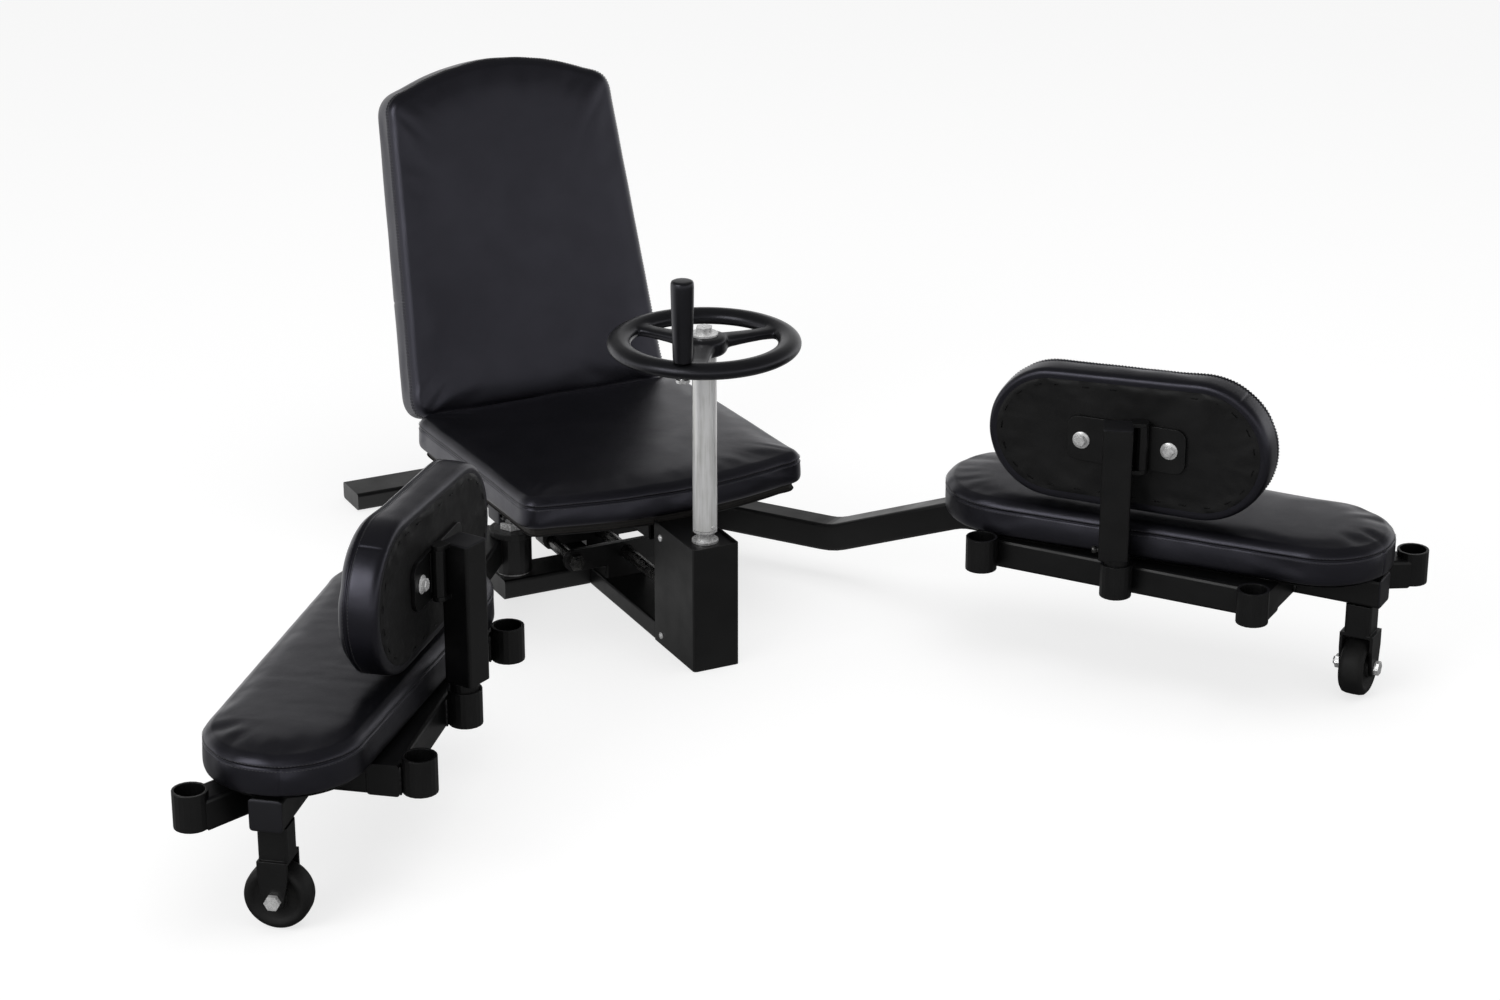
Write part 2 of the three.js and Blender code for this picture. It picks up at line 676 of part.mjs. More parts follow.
// Plate across the spine that holds both rods and lets the screw through
function guidePlate(name, y) {
  const { plate, stemHalfWidth, barHalfHeight } = guideBracket;
  const low = spine.height + seatGap;
  const end = guideRod.x;
  const shape = new THREE.Shape();
  shape.moveTo(-stemHalfWidth, low);
  shape.lineTo(stemHalfWidth, low);
  shape.lineTo(stemHalfWidth, screw.height - barHalfHeight);
  shape.absarc(end, screw.height, barHalfHeight, -Math.PI / 2, Math.PI / 2);
  shape.absarc(-end, screw.height, barHalfHeight, Math.PI / 2, 1.5 * Math.PI);
  shape.lineTo(-stemHalfWidth, screw.height - barHalfHeight);
  const body = solid(prismY(shape, y, y + plate, roundCornerSteps));
  const bore = (radius) => cylinder(radius, y - overrun, y + plate + overrun, pinSides);
  const hole = (x, radius) => solid(lyingY(bore(radius), x, screw.height));
  const holes = [hole(0, screw.radius + runningGap)];
  for (const x of [-guideRod.x, guideRod.x]) holes.push(hole(x, guideRod.radius + seatGap));
  piece(model, name, cut(body, ...holes), materials.steel);
}

// Rod with a nut beyond each plate
function guideRodPair() {
  const { x, radius, thread, nutAcross, nut } = guideRod;
  const front = guideBracket.frontY - seatGap;
  const rear = rearBracketBack + seatGap;
  for (const [name, side] of [['left', 1], ['right', -1]]) {
    const shaft = cylinder(radius, front - thread, rear + thread, pinSides);
    const rod = solid(lyingY(shaft, side * x, screw.height));
    const nutAt = (y0, y1) => solid(prismY(hexagon(nutAcross), y0, y1).translate(side * x, 0, screw.height));
    const body = join(rod, nutAt(front - nut, front), nutAt(rear, rear + nut));
    piece(model, `guide_rod_${name}`, body, materials.zinc);
  }
}

// The crosshead moves by one fixed length for each radian of the arms' swing. The lever's pin
// follows the sine of its angle instead, so its slot runs along X and is a little wider than the pin.
const leverRest = radians(lever.restAngle);
const leverEnd = Math.max(radians(openAngle) - leverRest, radians(closeAngle) + leverRest);
const travelPerRadian = leverPullShare * lever.radius;
const crossheadY = pivot.y + travelPerRadian * leverRest;
const leverMost = Math.acos(leverPullShare);
const sineSlack = Math.max(
  lever.radius * Math.sin(leverMost) - travelPerRadian * leverMost,
  travelPerRadian * leverEnd - lever.radius * Math.sin(leverEnd),
);
const slotHalfWidth = lever.pinRadius + sineSlack + seatGap;
const slotNear = pivotX - lever.radius - lever.pinRadius - runningGap;
const slotFar = pivotX - lever.radius * Math.cos(leverEnd) + lever.pinRadius + runningGap;

// Nut block on the screw, a web to a boss on each rod, and a slotted ledge above each boss
function crossheadBody() {
  const { length, blockHalfWidth, blockHalfHeight, webHalfHeight, bossRadius } = crosshead;
  const y0 = crossheadY - length / 2;
  const y1 = crossheadY + length / 2;
  const z = screw.height;
  const bar = (halfWidth, halfHeight) => solid(prismY(
    rectangle(-halfWidth, halfWidth, z - halfHeight, z + halfHeight), y0, y1,
  ));
  const block = bar(blockHalfWidth, blockHalfHeight);
  const web = bar(guideRod.x, webHalfHeight);
  const along = (x, radius, past) => solid(lyingY(cylinder(radius, y0 - past, y1 + past, pinSides), x, z));
  const ends = [guideRod.x, -guideRod.x];
  const bosses = ends.map((x) => along(x, bossRadius, 0));
  const whole = join(block, web, ...bosses, ...ends.map((x) => ledge(Math.sign(x), y0, y1)));
  const bores = ends.map((x) => along(x, guideRod.radius + runningGap, overrun));
  bores.push(along(0, screw.radius + runningGap, overrun));
  const slots = ends.map((x) => pinSlot(Math.sign(x)));
  piece(model, 'crosshead', cut(whole, ...bores, ...slots), materials.steel);
}

function ledge(side, y0, y1) {
  const centre = side * (slotNear + slotFar) / 2;
  const half = (slotFar - slotNear) / 2 + slotLedge.wall;
  return box(centre - half, centre + half, y0, y1, screw.height, slotLedge.top);
}

function pinSlot(side) {
  const length = slotFar - slotNear;
  const shape = roundedRect(length, 2 * slotHalfWidth, slotHalfWidth);
  const floor = screw.height + guideRod.radius + slotLedge.floor;
  const x = side * (slotNear + slotFar) / 2;
  return solid(prismZ(shape, floor, slotLedge.top + overrun, roundCornerSteps).translate(x, crossheadY, 0));
}

// Leg arms

const seatBoardBottom = seatBottom - board.thickness - seatGap;
const beamTop = seatBoardBottom - Math.tan(radians(seatFallAngle)) * middleFoot.rear - seatGap;
const beamBottom = barrel.top + runningGap + pivot.nut + pivot.headroom;

function pivotPin(name, side) {
  const { pinRadius, flangeRadius, flange, nutAcross, nut } = pivot;
  const foot = middleFoot.height + seatGap;
  const top = beamBottom + 2 * seatFrame.wall;
  const profile = [
    [0, foot], [flangeRadius, foot], [flangeRadius, foot + flange],
    [pinRadius, foot + flange], [pinRadius, top], [0, top],
  ];
  const nutBase = barrel.top + runningGap;
  const hex = solid(prismZ(hexagon(nutAcross), nutBase, nutBase + nut));
  const body = join(solid(turned(profile, roundSides)), hex);
  const place = new THREE.Group();
  place.position.set(side * pivotX, pivot.y, 0);
  model.add(place);
  piece(place, `${name}_pivot_pin`, body, materials.zinc);
}

const armTop = armPath.bottom + armTube.size;
const armMiddle = armPath.bottom + armTube.size / 2;

// Barrel on the pivot, bent tube, and the branch with its socket
function legArm(frame, name, side) {
  const { size, wall, corner, bendRadius } = armTube;
  const { start, lowAside, lowBottom, bendOut, riseOut, aside, end } = armPath;
  const low = lowBottom + size / 2;
  const corners = [
    [start, lowAside, low], [bendOut, lowAside, low],
    [riseOut, aside, armMiddle], [end, aside, armMiddle],
  ].map((p) => new THREE.Vector3(...p));
  const across = new THREE.Vector3(0, 1, 0);
  const tube = bentTube(corners, size, size, wall, corner, bendRadius, across);
  const foot = middleFoot.height + seatGap + pivot.flange + seatGap;
  const sleeve = solid(cylinder(barrel.radius, foot, barrel.top, roundSides));
  const boreRadius = pivot.pinRadius + runningGap;
  const bore = solid(cylinder(boreRadius, foot - overrun, barrel.top + overrun, roundSides));
  const branchBody = branchTube(tube.hollow);
  const body = cut(join(cut(tube.outer, tube.hollow), cut(sleeve, tube.hollow), branchBody), bore);
  piece(frame, `${name}_leg_arm`, body, materials.steel, side);
}

// Short square tube from the arm's outer side to the fourth socket
function branchTube(armHollow) {
  const { angle, pastEnd, endAside } = branch;
  const { size, wall, corner } = armTube;
  const endAlong = armPath.end + pastEnd;
  const length = (endAside - armPath.aside) / Math.sin(radians(angle));
  const section = roundedRect(size, size, corner);
  const straight = (shape, x0, x1) => solid(prismX(shape, x0, x1)
    .rotateZ(radians(angle)).translate(endAlong, endAside, armMiddle));
  const hollow = hollowSection(size, size, wall);
  const shell = cut(straight(section, -length, 0), straight(hollow, -length - overrun, -socket.bore));
  const space = cylinder(socket.radius, socket.bottom - overrun, socket.top + overrun);
  const around = solid(upright(space, endAlong, endAside));
  return join(cut(shell, around, armHollow), socketTube(endAlong, endAside));
}

function socketTube(along, aside) {
  const { radius, bore, bottom, top, floor, floorHole } = socket;
  const profile = [
    [floorHole, bottom], [radius, bottom], [radius, top], [bore, top],
    [bore, bottom + floor], [floorHole, bottom + floor], [floorHole, bottom],
  ];
  return solid(upright(turned(profile, roundSides), along, aside));
}

const socketAside = rail.aside - armTube.size / 2 - socket.radius;

// Tube beside the arm with three sockets welded on its inner face
function socketRail(frame, name, side) {
  const { size, wall, corner } = armTube;
  const start = crossTube.innerAlong - size / 2;
  const end = outerCrossAlong + size / 2;
  const tube = prismX(tubeSection(size, size, wall, corner), start, end);
  const bar = solid(tube.translate(0, rail.aside, armMiddle));
  const { firstPast, middleAlong, lastPast } = rail;
  const places = [crossTube.innerAlong + firstPast, middleAlong, outerCrossAlong + lastPast];
  const sockets = places.map((along) => weldedSocket(along));
  piece(frame, `${name}_socket_rail`, join(bar, ...sockets), materials.steel, side);
}

// The weld fills the corner between the socket and the rail
function weldedSocket(along) {
  const face = socketAside + socket.radius;
  const half = socket.radius / 2;
  const reach = socket.radius - Math.sqrt(socket.radius ** 2 - half ** 2);
  const low = Math.max(socket.bottom, armPath.bottom + armTube.corner);
  const high = armTop - armTube.corner;
  const web = box(along - half, along + half, face - reach, face + armTube.wall / 2, low, high);
  const hole = solid(upright(cylinder(socket.bore, socket.bottom, socket.top), along, socketAside));
  return join(socketTube(along, socketAside), cut(web, hole));
}

function crossTubes(frame, name, side) {
  const { size, wall, corner } = armTube;
  const near = rail.aside + size / 2 + seatGap;
  const far = armPath.aside - size / 2 - seatGap;
  for (const [place, along] of [['inner', crossTube.innerAlong], ['outer', outerCrossAlong]]) {
    const tube = prismY(tubeSection(size, size, wall, corner), near, far).translate(along, 0, armMiddle);
    piece(frame, `${name}_cross_tube_${place}`, solid(tube), materials.steel, side);
  }
}

// Lever welded round the top of the barrel, with a pin that hangs into the crosshead's slot
function legLever(frame, name, side, restAngle) {
  const { radius, hubWall, thickness, endRadius, pinRadius } = lever;
  const bottom = barrel.top - thickness;
  const hubRadius = barrel.radius + hubWall;
  const outline = new THREE.Shape(taperOutline(0, 0, hubRadius, radius, 0, endRadius));
  const plate = solid(prismZ(outline, bottom, barrel.top));
  const eye = solid(cylinder(barrel.radius + seatGap, bottom - overrun, barrel.top + overrun, roundSides));
  const pinEnd = screw.height + guideRod.radius + slotLedge.floor + seatGap;
  const pin = solid(upright(cylinder(pinRadius, pinEnd, barrel.top, pinSides), radius, 0));
  const place = new THREE.Group();
  place.rotation.z = -side * (Math.PI / 2 + restAngle + leverRest);
  frame.add(place);
  piece(place, `${name}_leg_lever`, join(cut(plate, eye), pin), materials.steel, side);
}

// Casters

function casterFork(frame, name, side) {
  const { aside, wheelRadius, wheelWidth, sideGap } = caster;
  const along = casterAlong;
  const { plate, width, crownGap, footRadius, post, postWall } = fork;
  const inside = wheelWidth / 2 + sideGap;
  const crown = 2 * wheelRadius + crownGap;
  const top = armPath.bottom - seatGap;
  const bridge = prismY(polygon([
    [along - inside - plate, 0], [along - inside, 0], [along - inside, crown], [along + inside, crown],
    [along + inside, 0], [along + inside + plate, 0],
    [along + inside + plate, crown + plate], [along - inside - plate, crown + plate],
  ]), aside - width / 2, aside + width / 2);
  const cheeks = new THREE.Shape();
  cheeks.absarc(aside, wheelRadius, footRadius, Math.PI, 2 * Math.PI);
  cheeks.lineTo(aside + width / 2, crown - width / 2);
  cheeks.lineTo(aside + width / 2, crown + plate);
  cheeks.lineTo(aside - width / 2, crown + plate);
  cheeks.lineTo(aside - width / 2, crown - width / 2);
  const reach = inside + plate + overrun;
  const profile = solid(prismX(cheeks, along - reach, along + reach, roundCornerSteps));
  const tube = prismZ(tubeSection(post, post, postWall, armTube.corner), crown + plate / 2, top);
  const pinHole = cylinder(axle.radius + seatGap, along - reach, along + reach, pinSides);
  const body = cut(solid(bridge).intersect(profile), solid(lyingX(pinHole, aside, wheelRadius)));
  const postTube = solid(tube.translate(along, aside, 0));
  piece(frame, `${name}_caster_fork`, join(body, postTube), materials.steel, side);
}

function casterWheel(frame, name, side) {
  const { aside, wheelRadius, wheelWidth, tyreEdge } = caster;
  const { radius, recess, recessRadius } = wheelHub;
  const half = wheelWidth / 2;
  const bore = axle.radius + runningGap;
  const rounding = tyreEdgeAngles.map(radians);
  const low = rounding.map((t) => [
    wheelRadius - tyreEdge + tyreEdge * Math.sin(t),
    -half + tyreEdge - tyreEdge * Math.cos(t),
  ]);
  const high = low.map(([r, z]) => [r, -z]).reverse();
  const profile = [
    [bore, -half], [radius, -half],
    [radius, -half + recess], [recessRadius, -half + recess], [recessRadius, -half],
    ...low, ...high,
    [recessRadius, half], [recessRadius, half - recess], [radius, half - recess], [radius, half],
    [bore, half], [bore, -half],
  ];
  const wheel = lyingX(turned(profile, wheelSides), aside, wheelRadius).translate(casterAlong, 0, 0);
  piece(frame, `${name}_caster_wheel`, solid(wheel), materials.rubber, side);
}

function axleBolt(frame, name, side) {
  const { aside, wheelRadius, wheelWidth, sideGap } = caster;
  const along = casterAlong;
  const reach = wheelWidth / 2 + sideGap + fork.plate + seatGap;
  const { radius, head, headAcross, nut, tail } = axle;
  const shank = cylinder(radius, along - reach - nut - tail, along + reach + head / 2, pinSides);
  const hexAt = (x0, x1) => prismX(hexagon(headAcross), x0, x1).translate(0, aside, wheelRadius);
  const ends = [hexAt(along - reach - nut, along - reach), hexAt(along + reach, along + reach + head)];
  const body = join(solid(lyingX(shank, aside, wheelRadius)), ...ends.map(solid));
  piece(frame, `${name}_axle_bolt`, body, materials.zinc, side);
}

// Cushions

// Rings of a cover: drawn in at its foot, full at the middle, creased at the seam and domed on top
function coverRings(outline, height, crown) {
  const { drawIn, edgeRadius, seamDrop, seamHalfWidth, seamDepth } = cover;
  const seam = height - seamDrop;
  const side = [
    [drawIn, 0], [drawIn * coverLowerInsetShare, height * coverLowerShare], [0, height * coverMiddleShare],
    [seamDepth / 4, seam - seamHalfWidth], [seamDepth, seam], [seamDepth / 4, seam + seamHalfWidth],
  ];
  const roll = coverRollAngles.map(radians)
    .map((t) => [edgeRadius * (1 - Math.cos(t)), height - edgeRadius * (1 - Math.sin(t))]);
  const ringAt = ([distance, z]) => inset(outline, distance).map((p) => new THREE.Vector3(p.x, p.y, z));
  const rings = [...side, ...roll].map(ringAt);
  const rim = rings[rings.length - 1];
  const centre = middle(rim);
  const domed = (share) => rim.map((point) => {
    const inner = point.clone().lerp(centre, share);
    inner.z = height + crown * (1 - (1 - share) ** 2);
    return inner;
  });
  return [...rings, ...crownShares.map(domed), domed(1)];
}

function cushion(outline, height, crown) {
  const rings = coverRings(outline, height, crown);
  return loft(rings);
}

function boardPlate(outline, distance, z0, z1) {
  return prismZ(new THREE.Shape(inset(outline, distance)), z0, z1);
}

// Cushion whose cover wraps the edge of its board; both in the cushion's own frame
function wrappedPair(outline, height, crown, boardBottom) {
  const boardTop = boardBottom + board.thickness;
  const plate = boardPlate(outline, board.inset, boardBottom, boardTop);
  const hollow = boardPlate(outline, board.inset - seatGap, boardBottom - overrun, boardTop + seatGap);
  const pad = cut(solid(cushion(outline, height, crown)), solid(hollow));
  return { pad, plate: solid(plate) };
}

function legRest(frame, name, side) {
  const a = legPadInner;
  const b = legPadOuter;
  const outerAlong = armPath.end - b.beforeEnd;
  const outline = taperOutline(a.along, a.aside, a.radius, outerAlong, b.aside, b.radius);
  const place = new THREE.Group();
  place.position.set(0, 0, legPad.bottom);
  frame.add(place);
  const boardBottom = armTop + seatGap - legPad.bottom;
  const rest = wrappedPair(outline, legPad.top - legPad.bottom, legPad.crown, boardBottom);
  piece(place, `${name}_leg_board`, rest.plate, materials.plywood, side);
  piece(place, `${name}_leg_pad`, rest.pad, materials.vinyl, side);
}

// Side pad

// Thin square post with a round spigot below and two lugs that hold the hinge pin
function sidePostBody(frame, name, side) {
  const { size, wall, corner, bottom, top } = sidePost;
  const shell = solid(prismZ(roundedRect(size, size, corner), bottom, top));
  const hollow = solid(prismZ(hollowSection(size, size, wall), bottom + wall, top + overrun));
  const yaw = radians(sidePost.yawAngle);
  const tube = turnedAside(cut(shell, hollow), yaw, sidePost.along, sidePost.aside);
  const spigotEnd = socket.bottom + socket.floor + seatGap;
  const spigot = solid(cylinder(socket.bore - runningGap, spigotEnd, bottom + wall / 2, roundSides));
  const place = new THREE.Group();
  place.position.set(rail.middleAlong, side * socketAside, 0);
  frame.add(place);
  const pinBottom = hinge.bottom - seatGap - hinge.lug;
  const lugs = [pinBottom, hinge.top + seatGap].map((z) => cut(hingeLug(z, yaw), tubeSpace(yaw)));
  const pin = cylinder(hinge.pinRadius, pinBottom, hinge.top + seatGap + hinge.lug, pinSides);
  const hingePin = solid(upright(pin, hinge.along, hinge.aside));
  piece(place, `${name}_side_post`, join(tube, spigot, ...lugs, hingePin), materials.steel, side);
}

function turnedAside(body, yaw, along, aside) {
  return solid(geometryOf(body).rotateZ(yaw).translate(along, aside, 0));
}

function tubeSpace(yaw) {
  const { size, wall, bottom, top } = sidePost;
  const space = prismZ(hollowSection(size, size, wall), bottom, top);
  return solid(space.rotateZ(yaw).translate(sidePost.along, sidePost.aside, 0));
}

// Flat lug from the post's outer face round the pin
function hingeLug(z, yaw) {
  const centre = new THREE.Vector2(sidePost.along, sidePost.aside);
  const pin = new THREE.Vector2(hinge.along, hinge.aside);
  const reach = pin.sub(centre).rotateAround(new THREE.Vector2(), -yaw);
  const shape = new THREE.Shape();
  const start = sidePost.size / 2 - sidePost.wall;
  shape.moveTo(start, reach.y - hinge.radius);
  shape.lineTo(reach.x, reach.y - hinge.radius);
  shape.absarc(reach.x, reach.y, hinge.radius, -Math.PI / 2, Math.PI / 2);
  shape.lineTo(start, reach.y + hinge.radius);
  const lug = prismZ(shape, z, z + hinge.lug, roundCornerSteps);
  return solid(lug.rotateZ(yaw).translate(centre.x, centre.y, 0));
}

function hingeFrame(frame, side) {
  const place = new THREE.Group();
  place.position.set(rail.middleAlong + hinge.along, side * (socketAside + hinge.aside), 0);
  place.rotation.z = side * radians(hinge.yawAngle);
  frame.add(place);
  return place;
}

// Plate behind the pad with the hinge barrel welded to it
function sidePlateBody(place, name, side) {
  const { length, height, centre, z, back, thickness, corner } = sidePlate;
  const outline = roundedRect(length, height, corner);
  const plate = solid(prismY(outline, back, back + thickness, roundCornerSteps).translate(centre, 0, z));
  const bore = hinge.pinRadius + runningGap;
  const { radius, bottom, top } = hinge;
  const profile = [[bore, bottom], [radius, bottom], [radius, top], [bore, top], [bore, bottom]];
  const sleeve = solid(turned(profile, pinSides));
  const half = radius / 2;
  const weld = box(-half, half, bore, back + thickness / 2, bottom + half, top - half);
  const body = cut(join(plate, weld), solid(cylinder(radius - overrun / 4, bottom, top, pinSides)));
  piece(place, `${name}_side_plate`, join(body, sleeve), materials.steel, side);
}

// The cushion's own frame has its outline upright and its height towards the leg
function sideRest(place, name, side) {
  const a = sidePadInner;
  const b = sidePadOuter;
  const outline = taperOutline(-b.along, b.z, b.radius, -a.along, a.z, a.radius);
  const rest = wrappedPair(outline, sidePad.thickness, sidePad.crown, 0);
  const face = sidePlate.back + sidePlate.thickness + seatGap;
  const stand = new THREE.Matrix4().makeBasis(
    new THREE.Vector3(-1, 0, 0),
    new THREE.Vector3(0, 0, 1),
    new THREE.Vector3(0, 1, 0),
  ).setPosition(0, face, 0);
  const placed = (body) => solid(geometryOf(body).applyMatrix4(stand));
  piece(place, `${name}_side_board`, placed(rest.plate), materials.plywood, side);
  piece(place, `${name}_side_pad`, placed(rest.pad), materials.vinyl, side);
}

function leg(name, side) {
  const restAngle = radians(legTurns[`${name}Angle`]);
  const frame = new THREE.Group();
  frame.position.set(side * pivotX, pivot.y, 0);
  frame.rotation.z = -Math.PI / 2 + side * restAngle;
  model.add(frame);
  legArm(frame, name, side);
  legLever(frame, name, side, restAngle);
  socketRail(frame, name, side);
  crossTubes(frame, name, side);
  casterFork(frame, name, side);
  casterWheel(frame, name, side);
  axleBolt(frame, name, side);
  legRest(frame, name, side);
  sidePostBody(frame, name, side);
  const place = hingeFrame(frame, side);
  sidePlateBody(place, name, side);
  sideRest(place, name, side);
}

// Seat

function seatOutline() {
  const { halfWidth, front, bow, rear, corner } = seat;
  const shape = new THREE.Shape();
  shape.moveTo(-halfWidth + corner, front);
  shape.quadraticCurveTo(0, front - 2 * bow, halfWidth - corner, front);
  shape.quadraticCurveTo(halfWidth, front, halfWidth, front + corner);
  shape.lineTo(halfWidth, rear - corner);
  shape.quadraticCurveTo(halfWidth, rear, halfWidth - corner, rear);
  shape.lineTo(-halfWidth + corner, rear);
  shape.quadraticCurveTo(-halfWidth, rear, -halfWidth, rear - corner);
  shape.lineTo(-halfWidth, front + corner);
  shape.quadraticCurveTo(-halfWidth, front, -halfWidth + corner, front);
  return evenOutline(shape.getPoints(cornerSteps));
}

function seatGroup() {
  const place = new THREE.Group();
  place.position.set(0, 0, seatBottom);
  place.rotation.x = -radians(seatFallAngle);
  model.add(place);
  return place;
}

function seatCushion() {
  const place = seatGroup();
  const outline = seatOutline();
  const plate = boardPlate(outline, board.inset, -seatGap - board.thickness, -seatGap);
  piece(place, 'seat_board', solid(plate), materials.plywood);
  piece(place, 'seat_pad', solid(cushion(outline, seat.thickness, seat.crown)), materials.vinyl);
}

const postAxisBehind = backrest.thickness + 2 * seatGap + board.thickness + backPost.depth / 2;
const postFootY = backrest.y + postAxisBehind / Math.cos(radians(backrestLeanAngle))
  + (backPost.bendHeight - backrestZ) * Math.tan(radians(backrestLeanAngle));

// Beam over the pivots, with a rail to the front and one back to the backrest's post
function seatFrameBody() {
  const { tube, wall, corner, frontEnd } = seatFrame;
  const depth = middleFoot.rear - middleFoot.front;
  const y = (middleFoot.front + middleFoot.rear) / 2;
  const half = middleFoot.halfSpan;
  const beamAt = (shape, past) => solid(prismX(shape, -half - past, half + past)
    .translate(0, y, (beamTop + beamBottom) / 2));
  const railTop = -2 * seatGap - board.thickness;
  const railEnd = postFootY - backPost.depth / 2 - seatGap;
  const railAt = (shape, past) => solid(prismY(shape, frontEnd - past, railEnd + past)
    .translate(0, 0, railTop - tube / 2).rotateX(-radians(seatFallAngle)).translate(0, 0, seatBottom));
  const beamHeight = beamTop - beamBottom;
  const beam = beamAt(roundedRect(depth, beamHeight, corner), 0);
  const beamHollow = beamAt(hollowSection(depth, beamHeight, wall), overrun);
  const bar = railAt(roundedRect(tube, tube, corner), 0);
  const barHollow = railAt(hollowSection(tube, tube, wall), overrun);
  const pinHole = (side) => solid(upright(
    cylinder(pivot.pinRadius + seatGap, beamBottom - overrun, beamBottom + overrun),
    side * pivotX, pivot.y,
  ));
  const body = cut(join(beam, bar), beamHollow, barHollow, pinHole(1), pinHole(-1));
  piece(model, 'seat_frame', body, materials.steel);
}

function seatUpright() {
  const { tube, wall, corner, uprightY } = seatFrame;
  const rearEdge = uprightY + tube / 2;
  const slope = Math.tan(radians(seatFallAngle));
  const top = seatBoardBottom - seatGap - tube - slope * rearEdge - seatGap;
  const body = prismZ(tubeSection(tube, tube, wall, corner), spine.height + seatGap, top);
  piece(model, 'seat_upright', solid(body.translate(0, uprightY, 0)), materials.steel);
}

// Backrest

function backrestOutline() {
  const { below, side, rise, halfWidth } = backrest;
  const { perSide, lowerCorner, upperCorner } = backrestTaper;
  const low = halfWidth + perSide * below / (side + below) - perSide * below / side;
  const high = halfWidth - perSide;
  const shape = new THREE.Shape();
  shape.moveTo(-low + lowerCorner, -below);
  shape.lineTo(low - lowerCorner, -below);
  shape.quadraticCurveTo(low, -below, low - perSide * lowerCorner / side, lowerCorner - below);
  shape.lineTo(high, side - upperCorner);
  shape.quadraticCurveTo(high, side, high - upperCorner, side + rise / 5);
  shape.quadraticCurveTo(0, side + 1.8 * rise, -high + upperCorner, side + rise / 5);
  shape.quadraticCurveTo(-high, side, -high, side - upperCorner);
  shape.lineTo(-low + perSide * lowerCorner / side, lowerCorner - below);
  shape.quadraticCurveTo(-low, -below, -low + lowerCorner, -below);
  return evenOutline(shape.getPoints(cornerSteps));
}

// Its own frame stands on the back face of the cushion: Y up the slope, Z out of its front
function backrestGroup() {
  const lean = radians(backrestLeanAngle);
  const place = new THREE.Group();
  place.position.set(
    0,
    backrest.y + backrest.thickness * Math.cos(lean),
    backrestZ - backrest.thickness * Math.sin(lean),
  );
  place.rotation.x = Math.PI / 2 - lean;
  model.add(place);
  return place;
}

function backrestCushion() {
  const place = backrestGroup();
  const outline = backrestOutline();
  const plate = boardPlate(outline, board.inset, -seatGap - board.thickness, -seatGap);
  piece(place, 'backrest_board', solid(plate), materials.plywood);
  piece(place, 'backrest_pad', solid(cushion(outline, backrest.thickness, backrest.crown)), materials.vinyl);
}

// Upright from the spine that bends back behind the board
function backrestPost() {
  const { width, depth, wall, corner, bendHeight, bendRadius, reach } = backPost;
  const lean = radians(backrestLeanAngle);
  const foot = new THREE.Vector3(0, postFootY, spine.height + seatGap);
  const bend = new THREE.Vector3(0, postFootY, bendHeight);
  const top = bend.clone().add(new THREE.Vector3(0, Math.sin(lean), Math.cos(lean)).multiplyScalar(reach));
  const across = new THREE.Vector3(1, 0, 0);
  const tube = bentTube([foot, bend, top], width, depth, wall, corner, bendRadius, across);
  piece(model, 'backrest_post', cut(tube.outer, tube.hollow), materials.steel);
}

baseSpine();
baseMiddleFoot();
baseRearFoot();
gearboxCover();
gearboxFrame();
columnCollar();
columnShaft();
columnTube();
columnGear();
wheelBody();
wheelBolt();
handleSpindle();
handleGrip();
leadScrew();
screwGear();
guidePlate('guide_bracket_front', guideBracket.frontY);
guidePlate('guide_bracket_rear', guideBracket.rearY);
guideRodPair();
crossheadBody();
pivotPin('left', 1);
pivotPin('right', -1);
seatFrameBody();
seatUpright();
seatCushion();
backrestCushion();
backrestPost();
leg('left', 1);
leg('right', -1);

export default model;
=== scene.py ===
"""Leg stretching machine: cushions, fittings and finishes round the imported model.

Lengths of the machine are written in millimetres and turned into metres by MM. Those of the simulated
cloth, the textures and the stage are in metres.
"""

import json
import math
import random

import bmesh
import bpy
import numpy as np
from mathutils import Matrix, Vector, noise
from mathutils.kdtree import KDTree


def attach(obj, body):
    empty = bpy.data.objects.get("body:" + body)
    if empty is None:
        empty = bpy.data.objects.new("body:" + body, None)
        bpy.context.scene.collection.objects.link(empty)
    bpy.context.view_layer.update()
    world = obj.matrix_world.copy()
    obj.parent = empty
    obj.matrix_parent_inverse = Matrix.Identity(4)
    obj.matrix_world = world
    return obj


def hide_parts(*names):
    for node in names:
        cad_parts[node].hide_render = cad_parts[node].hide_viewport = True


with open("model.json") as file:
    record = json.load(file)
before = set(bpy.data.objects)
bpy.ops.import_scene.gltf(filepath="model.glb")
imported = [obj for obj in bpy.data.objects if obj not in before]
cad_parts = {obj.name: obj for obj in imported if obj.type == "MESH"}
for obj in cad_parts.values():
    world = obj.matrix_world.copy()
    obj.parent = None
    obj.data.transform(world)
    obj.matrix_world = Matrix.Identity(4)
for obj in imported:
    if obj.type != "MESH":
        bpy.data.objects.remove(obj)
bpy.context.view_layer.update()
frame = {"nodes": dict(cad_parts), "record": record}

MM = 0.001
TAU = 2 * math.pi

# Legs: side is +1 for the user's left and -1 for the right, with the arm's angle from straight ahead
SIDES = {"left": (1, 35.5), "right": (-1, 38.2)}
PIVOT_X = 131
PIVOT_Y = -16

# Cushions: the draw at the foot, the rolled edge, the seam's groove and the steps round the outlines
DRAW_IN = 7
EDGE_RADIUS = 12
SEAM_DROP = 12
SEAM_HALF = 1.5
SEAM_DEPTH = 1.7
OUTLINE_STEP = 7.0
BACKING_STEP = 4.0
# Band seams: the outline's stations round one, and the stretch that they take the place of
SEAM_STATIONS = (-3.4, -1.6, 0, 1.6, 3.4)
SEAM_CLEAR = 4.2
